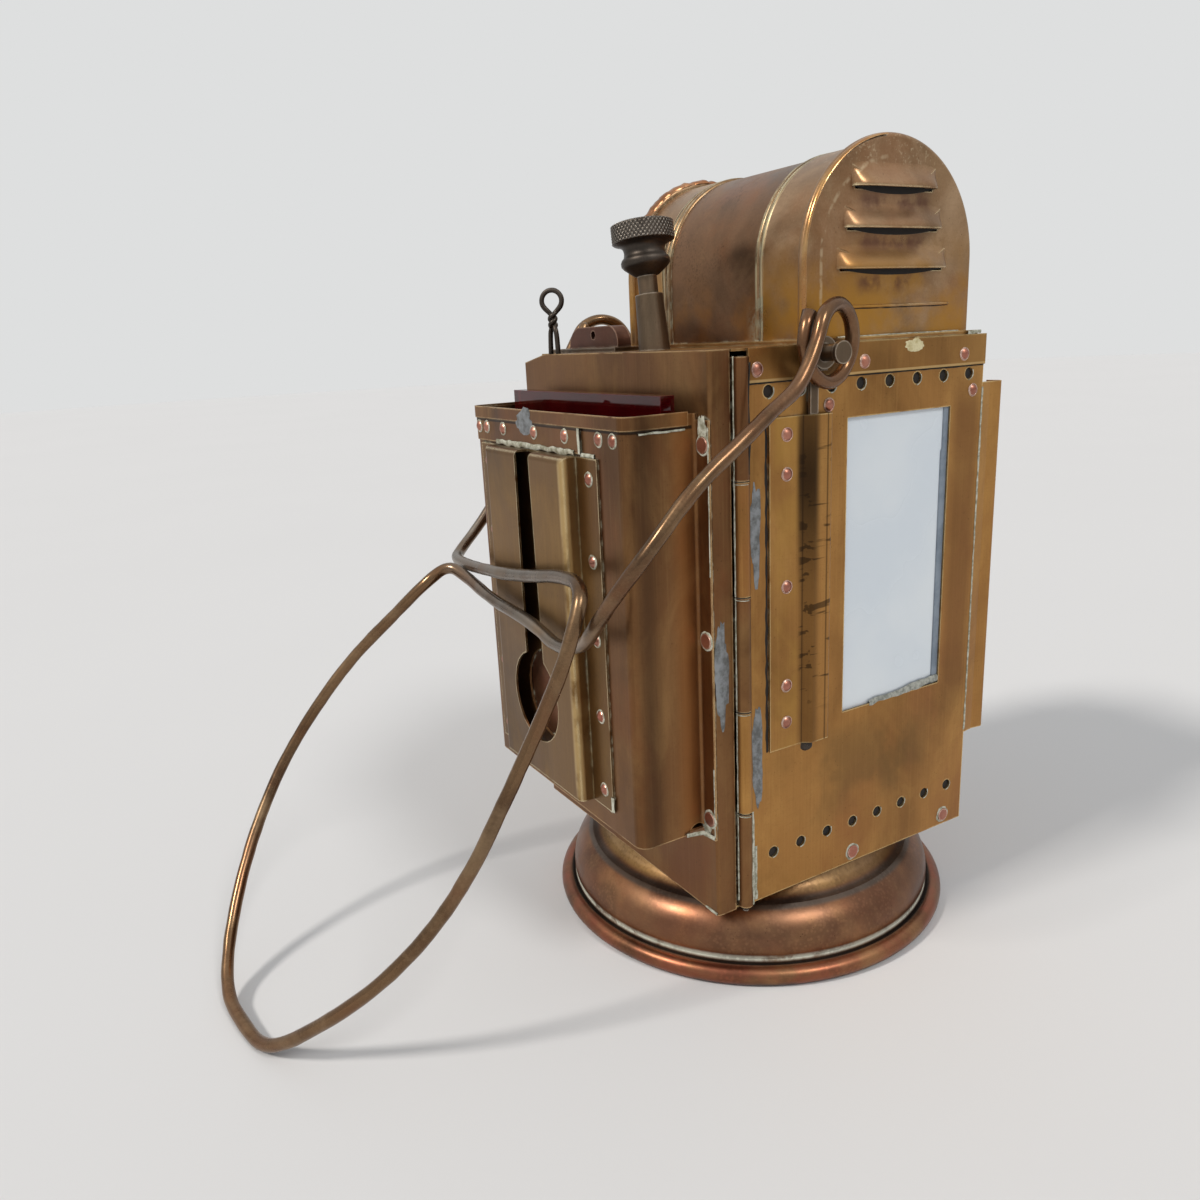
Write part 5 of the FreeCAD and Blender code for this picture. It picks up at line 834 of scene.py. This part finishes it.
CASE_SALTS = (
    (((64.0, HINGE_FRONT_Y, 38.0), (64.0, HINGE_FRONT_Y, 229.0)), (0.3, -1, 0), 0.8, 0.12),
    (((66.4, -49.8, 36.0), (66.4, -49.8, 73.0)), (1, 0.6, 0), 1.8, 0.3),
    (((64.9, -47.6, 36.5), (64.9, -47.6, 58.0)), PX, 1.5, 0.35),
    (((62.0, -9.0, 232.8), (62.0, 50.0, 232.8)), PZ, 1.6, 0.35),
    (((64.3, 53.0, 232.0), (64.3, 60.0, 232.0)), PX, 1.2, 0.2),
    (((63.6, 63.6, 74.0), (63.6, 63.6, 212.0)), PX, 0.9, 0.12),
)

# Lines of one row on the case: name, material and slot, then the row. The dark lines under the skirt, beside
# the strap's raised edge and under the cap's crease are painted shade.
LINES = (
    ("skirt_shade", "soot", "body_brass", ((63.6, -50.6, 220.1), (63.6, 63.0, 220.1)), PX, 0.5, 0.05),
    ("putty_window", "putty", "body_brass",
     ((63.1, 9.0, 98.3), (63.1, 30.0, 99.3), (63.1, 46.2, 100.4)), PX, 3.0, 0.6),
    ("gap_strap", "soot", "body_brass", ((63.5, -41.0, 92.0), (63.5, -41.0, 208.6)), PX, 1.5, 0.05),
    ("hinge_crack", "soot", "body_brass",
     ((66.9, -50.9, 192.0), (67.1, -50.4, 204.0), (66.9, -50.9, 214.0), (67.1, -50.3, 227.0)),
     (1, 0.3, 0), 0.8, 0.05),
    ("crease_cap", "soot", "hood_brass", ((60.5, -10.2, 241.7), (60.5, 45.8, 241.9)), PX, 0.5, 0.10),
)


def build_crusts():
    # vents: painted highlight on the lower rims of the vent holes, drawn in the salt material
    vents = [(arc_route((63.55, y, z), 2.35, -95, 35, PY, PZ, 12), PX, 0.45, 0.12) for y, z in vent_places()]
    groups = [
        ("salts_door", DOOR_SALTS, "salt", "front_door", "body_brass"),
        ("salts_case", CASE_SALTS, "salt", "case", "body_brass"),
        ("knuckle_joints", knuckle_arcs(0.0, 190, 380, 0.9), "soot", "case", "body_brass"),
        # painted highlight on the knuckles' edges at each joint, drawn in the salt material
        ("knuckle_edge_highlights", knuckle_arcs(0.9, 200, 370, 0.5), "salt", "case", "body_brass"),
        ("vent_rim_highlights", vents, "salt", "case", "body_brass"),
    ]
    groups += [(name, [row], material, "case", slot) for name, material, slot, *row in LINES]
    seeds = iter(CRUST_SEEDS)
    for name, rows, material, body, slot in groups:
        parts = [crust_points(*row, next(seeds)) for row in rows]
        piece(name, joined_mesh(name, parts), material, body)


# Rings of pale salts round the rivet heads, found from the heads themselves
def heads_of(node):
    """Lowest and highest corner of each loose part of a node."""
    mesh = bmesh.new()
    mesh.from_mesh(NODES[node].data)
    bmesh.ops.remove_doubles(mesh, verts=mesh.verts, dist=0.02 * MM)
    left = set(mesh.verts)
    heads = []
    for start in list(mesh.verts):
        if start not in left:
            continue
        left.discard(start)
        island, edge = [start], [start]
        while edge:
            for link in edge.pop().link_edges:
                for vertex in link.verts:
                    if vertex in left:
                        left.discard(vertex)
                        island.append(vertex)
                        edge.append(vertex)
        heads.append([Vector([end(v.co[axis] for v in island) for axis in range(3)]) / MM
                      for end in (min, max)])
    mesh.free()
    return heads


def ring_points(low, high, grow, seed):
    """Uneven ring round a head whose thinnest way is taken as its axis."""
    size = high - low
    axis = min(range(3), key=lambda index: size[index])
    middle = (low + high) / 2
    way = math.copysign(1.0, middle[axis])
    out, foot, across = Vector((0, 0, 0)), middle.copy(), Vector(PZ)
    out[axis] = way
    foot[axis] = (low if way > 0 else high)[axis]
    other = out.cross(across)
    inner = max(size) / 2
    points, faces = [], []
    spokes = 30
    for angle in turns(spokes):
        ray = across * math.cos(angle) + other * math.sin(angle)
        value = 0.5 + 0.5 * noise.fractal(ray * 1.6 + Vector((seed, seed, 0)), 1.0, 2.0, 3)
        reach = grow * (0.35 + 1.1 * value)
        for radius, rise in ((inner - 0.15, 0.0), (inner + 0.05, 0.30), (inner + reach * 0.6, 0.22),
                             (inner + reach, -0.05)):
            points.append(foot + ray * radius + out * rise)
    for spoke in range(spokes):
        after = (spoke + 1) % spokes
        for step in range(3):
            faces.append((4 * spoke + step, 4 * after + step, 4 * after + step + 1, 4 * spoke + step + 1))
    return points, faces


# Rings: node of the heads, body, reach of the ring and its material
RINGS = (
    ("case_flat_rivets", "case", 0.75, "salt"), ("door_flat_rivets", "front_door", 0.75, "salt"),
    ("door_dome_rivets", "front_door", 0.45, "salt"), ("case_dome_rivets", "case", 0.28, "rivet"),
)


def build_rings():
    for node, body, grow, material in RINGS:
        parts = [ring_points(low, high, grow, index) for index, (low, high) in enumerate(heads_of(node))]
        piece("rings_" + node, joined_mesh(node, parts), material, body)


# Worn folded edges of the two caps
FAR_EDGE_X, FAR_EDGE_R = -44.2, 40.4
NEAR_EDGE_X, NEAR_EDGE_R = 59.6, 40.2


def build_cap_edges():
    far = arc_route((FAR_EDGE_X, HOOD_Y, HOOD_Z), FAR_EDGE_R, 152, 62, PY, PZ, 60)
    mesh = joined_mesh("far_cap_edge", [ridge_points(far, 2.2, 1.4, 3, 0.7)])
    piece("far_cap_edge", mesh, "crumpled", "case")
    near = [Vector((NEAR_EDGE_X, HOOD_Y - NEAR_EDGE_R, z)) for z in (239.0, 248.0)]
    near += arc_route((NEAR_EDGE_X, HOOD_Y, HOOD_Z), NEAR_EDGE_R, 180, 96, PY, PZ, 60)
    mesh = joined_mesh("near_cap_edge", [ridge_points(near, 1.5, 0.75, 3)])
    piece("near_cap_edge", mesh, "edge", "case")


# Pressed louvre hoods over the slots of the near cap, with the slit below each lip drawn as a black strip of
# painted shade
LOUVRES = ((254.6, 25.8), (267.4, 22.7), (280.2, 19.6))
LOUVRE_PROUD = 4.2
LOUVRE_TALL = 8.6
LOUVRE_COLUMNS, LOUVRE_ROWS = 48, 14
LOUVRE_LIPS = {-2: (1.6, 1.4), -1: (0.25, -0.35)}
SLIT_COLUMNS = 40
FOLD_Z, FOLD_FIRST_Y, FOLD_LONG = 242.5, -10.2, 56.0


def louvre_points(z, half):
    """Swelling skin of a hood, with two rows that turn its lip back in."""
    points = []
    for row in range(-2, LOUVRE_ROWS + 1):
        v = max(row, 0) / LOUVRE_ROWS
        swell = 0.5 + 0.5 * math.cos(math.pi * v ** 0.85)
        back, rise = LOUVRE_LIPS.get(row, (0.0, 0.0))
        for column in range(LOUVRE_COLUMNS + 1):
            u = -1 + 2 * column / LOUVRE_COLUMNS
            end = max(0.0, 1 - abs(u) ** 7) ** 0.55
            height = z + LOUVRE_TALL * v * (0.86 + 0.14 * end) + rise * end
            x = CAP_FACE_X - 0.1 + (LOUVRE_PROUD * swell - back) * end
            points.append(Vector((x, HOOD_Y + u * half, height)))
    return points, strip_faces(LOUVRE_ROWS + 3, LOUVRE_COLUMNS + 1)


def slit_points(z, half):
    points = []
    for column in range(SLIT_COLUMNS + 1):
        u = -1 + 2 * column / SLIT_COLUMNS
        open_share = max(0.0, 1 - abs(u) ** 2.2)
        for height in (z + 0.6, z - 0.15 - 1.9 * open_share):
            points.append(Vector((CAP_FACE_X + 0.12, HOOD_Y + u * half * 0.94, height)))
    return points, strip_faces(SLIT_COLUMNS + 1, 2)


def build_louvres():
    hoods = joined_mesh("louvres", [louvre_points(*row) for row in LOUVRES])
    piece("louvres", hoods, "cap", "case")
    # slits: black strips of painted shade in the openings under the lips
    slits = joined_mesh("slits", [slit_points(*row) for row in LOUVRES])
    piece("louvre_slit_shade", slits, "soot", "case")
    fold = [Vector((CAP_FACE_X, FOLD_FIRST_Y + FOLD_LONG * step / 40, FOLD_Z)) for step in range(41)]
    piece("cap_fold", tube_mesh("cap_fold", fold, 0.55, 12, 0.12, 5.0), "cap", "case")


# Raised double beads across the vault, with pale worn crests
BEAD_REACH = 38.1
BEAD_FOOT_Z = 232.5


def build_beads():
    for name, places in BEAD_PAIRS:
        parts = []
        for index, x in enumerate(places):
            first, last = [Vector((x, HOOD_Y + side * BEAD_REACH, BEAD_FOOT_Z)) for side in (-1, 1)]
            arc = arc_route((x, HOOD_Y, HOOD_Z), BEAD_REACH, 180, 0, PY, PZ, 40)
            parts.append(ridge_points([first, *arc, last], 1.25, 0.95, index))
        piece(name, joined_mesh(name, parts), "bead", "case")


def ridge_points(route, half, rise, seed, wave=0.12):
    """A rounded ridge along a route in a plane of one X."""
    points = []
    profile = [(math.cos(math.radians(a)), math.sin(math.radians(a))) for a in range(180, -1, -30)]
    middle = Vector((route[0].x, HOOD_Y, HOOD_Z))
    for place in route:
        out = place - middle
        out = Vector((0, math.copysign(1, out.y), 0)) if place.z < middle.z else out.normalized()
        wobble = wave * noise.noise(place / (7.0 if wave < 0.5 else 2.6) + Vector((0, 0, seed * 5.0)))
        drift = wave * noise.noise(place / 3.1 + Vector((seed * 5.0, 0, 0)))
        for side, lift in profile:
            points.append(place + Vector((side * half + drift, 0, 0)) + out * ((rise + wobble) * lift - 0.9))
    return points, strip_faces(len(route), len(profile))


# Wire pull: one wire, twisted on itself below a round eye
PULL_X, PULL_Y, PULL_BACK_Y = -45.5, -58.4, -60.5
PULL_R, PULL_TWIST_R = 1.0, 1.1
PULL_SPREAD = 3.2
PULL_FOOT_Z, PULL_BEND_Z, PULL_NECK_Z = 171.0, 185.0, 198.5
PULL_TWIST_Z, PULL_TWIST_TALL, PULL_TWIST_DEG = 241.6, 5.5, 408.7
PULL_EYE_Z, PULL_EYE_R, PULL_EYE_TURN_DEG = 251.7, 4.15, 48.7


def pull_side(way):
    start = 180.0 if way < 0 else 0.0
    legs = ((PULL_BACK_Y, PULL_FOOT_Z), (PULL_BACK_Y, PULL_BEND_Z),
            (PULL_Y, PULL_NECK_Z), (PULL_Y, PULL_TWIST_Z - 3.2))
    points = [Vector((PULL_X + way * PULL_SPREAD, y, z)) for y, z in legs]
    for step in range(10):
        share = step / 9
        angle = math.radians(start + PULL_TWIST_DEG * share)
        points.append(Vector((PULL_X + PULL_TWIST_R * math.cos(angle), PULL_Y + PULL_TWIST_R * math.sin(angle),
                              PULL_TWIST_Z + PULL_TWIST_TALL * share)))
    return points


def build_pull():
    turn = math.radians(PULL_EYE_TURN_DEG)
    along = Vector((math.cos(turn), math.sin(turn), 0))
    centre = Vector((PULL_X, PULL_Y, PULL_EYE_Z))
    eye = [centre + along * (PULL_EYE_R * math.cos(math.radians(angle)))
           + Vector((0, 0, PULL_EYE_R * math.sin(math.radians(angle)))) for angle in range(215, -40, -25)]
    line = wire_line(pull_side(-1) + eye + pull_side(1)[::-1], 6)
    mesh = tube_mesh("pull", line, PULL_R, 14, 0.08, 3.0)
    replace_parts(piece("pull", mesh, "steel", "dark_slide"), "wire_pull")


# Grey strip beside the opal glass, stepped near its top: painted shadow of the window's edge on the glass; and
# the dark screw under the strap
STRIP_PLACES = tuple((z, 43.2) for z in (99.5, 130.0, 165.0, 190.0)) + ((191.0, 43.8), (206.0, 43.8))


def build_window_strip():
    points = []
    for z, inner_y in STRIP_PLACES:
        points += [Vector((62.5, inner_y, z)), Vector((62.85, inner_y + 0.3, z)), Vector((62.85, 46.3, z))]
    mesh = mesh_of("window_edge_shadow", points, strip_faces(len(STRIP_PLACES), 3))
    piece("window_edge_shadow", mesh, "window_shadow_grey", "case", smooth=False)
    head = patch_mesh("strap_screw", (63.6, -22.5, 90.2), PX, PZ, 5.6, 4.6, 1.6, 21, 0.06)
    piece("strap_screw", head, "steel", "case")


# Stage
def build_stage():
    mesh = bpy.data.meshes.new("floor")
    shape = bmesh.new()
    bmesh.ops.create_circle(shape, cap_ends=True, segments=96, radius=FLOOR_RADIUS)
    shape.to_mesh(mesh)
    shape.free()
    floor = placed("floor", mesh)
    g = Graph("floor")
    base = g.mix(g.band(g.noise(400, 3.0), 0.3, 0.7), FLOOR_COLOUR, FLOOR_CLOUD_COLOUR)
    floor.data.materials.append(g.shader(base, 0.0, 0.8))


def sun_light(name, toward, strength, spread_deg, tint):
    data = bpy.data.lights.new(name, "SUN")
    data.energy = strength
    data.angle = math.radians(spread_deg)
    data.color = colour(tint)[:3]
    lamp = placed(name, data)
    lamp.rotation_mode = "QUATERNION"
    lamp.rotation_quaternion = (-Vector(toward)).to_track_quat("-Z", "Y")


def build_sky():
    """Backdrop as the camera sees it, soft light on the surfaces, and reflections that brighten upwards."""
    world = bpy.data.worlds.new("studio")
    bpy.context.scene.world = world
    world.use_nodes = True
    tree = world.node_tree
    tree.nodes.clear()
    path = add_node(tree, "LightPath").outputs
    shown = add_node(tree, "Math", {0: path["Is Camera Ray"], 1: path["Is Transmission Ray"]},
                     operation="MAXIMUM")
    place = add_node(tree, "TexCoord")
    parts = add_node(tree, "SeparateXYZ", {0: place.outputs["Generated"]})
    sky = add_node(tree, "MapRange", {"Value": parts.outputs["Z"], "From Min": SKY_LOW, "From Max": SKY_HIGH,
                                      "To Min": WORLD_GLOSSY_LOW, "To Max": WORLD_GLOSSY_HIGH})
    glossy = add_node(tree, "Mix", {0: path["Is Glossy Ray"], 2: WORLD_DIFFUSE, 3: sky.outputs["Result"]},
                      data_type="FLOAT")
    level = add_node(tree, "Mix", {0: shown.outputs[0], 2: glossy.outputs[0], 3: 1.0}, data_type="FLOAT")
    back = add_node(tree, "Background", {"Color": BACKDROP_COLOUR, "Strength": level.outputs[0]})
    add_node(tree, "OutputWorld", {"Surface": back.outputs[0]})


def build_lights():
    for name, sun in SUNS.items():
        sun_light(name, *sun)
    build_sky()


def build_camera():
    data = bpy.data.cameras.new("camera")
    data.lens = CAMERA_LENS
    data.sensor_width = SENSOR
    data.clip_start = 0.01
    data.clip_end = 50.0
    camera = placed("camera", data)
    turn = Vector(CAMERA_TURN)
    world_to_camera = Quaternion(turn.normalized(), turn.length).to_matrix()
    flip = Matrix(((1, 0, 0), (0, -1, 0), (0, 0, -1)))
    camera.rotation_mode = "QUATERNION"
    camera.rotation_quaternion = (world_to_camera.transposed() @ flip).to_quaternion()
    camera.location = Vector(CAMERA_PLACE) * MM
    bpy.context.scene.camera = camera


build_camera()
build_stage()
build_lights()
dress_frame()
build_bail()
build_knob()
build_pull()
build_louvres()
build_beads()
build_cap_edges()
build_patches()
build_crusts()
build_rings()
build_window_strip()
build_vent_hole_shade()
bpy.context.scene.view_settings.view_transform = "Standard"
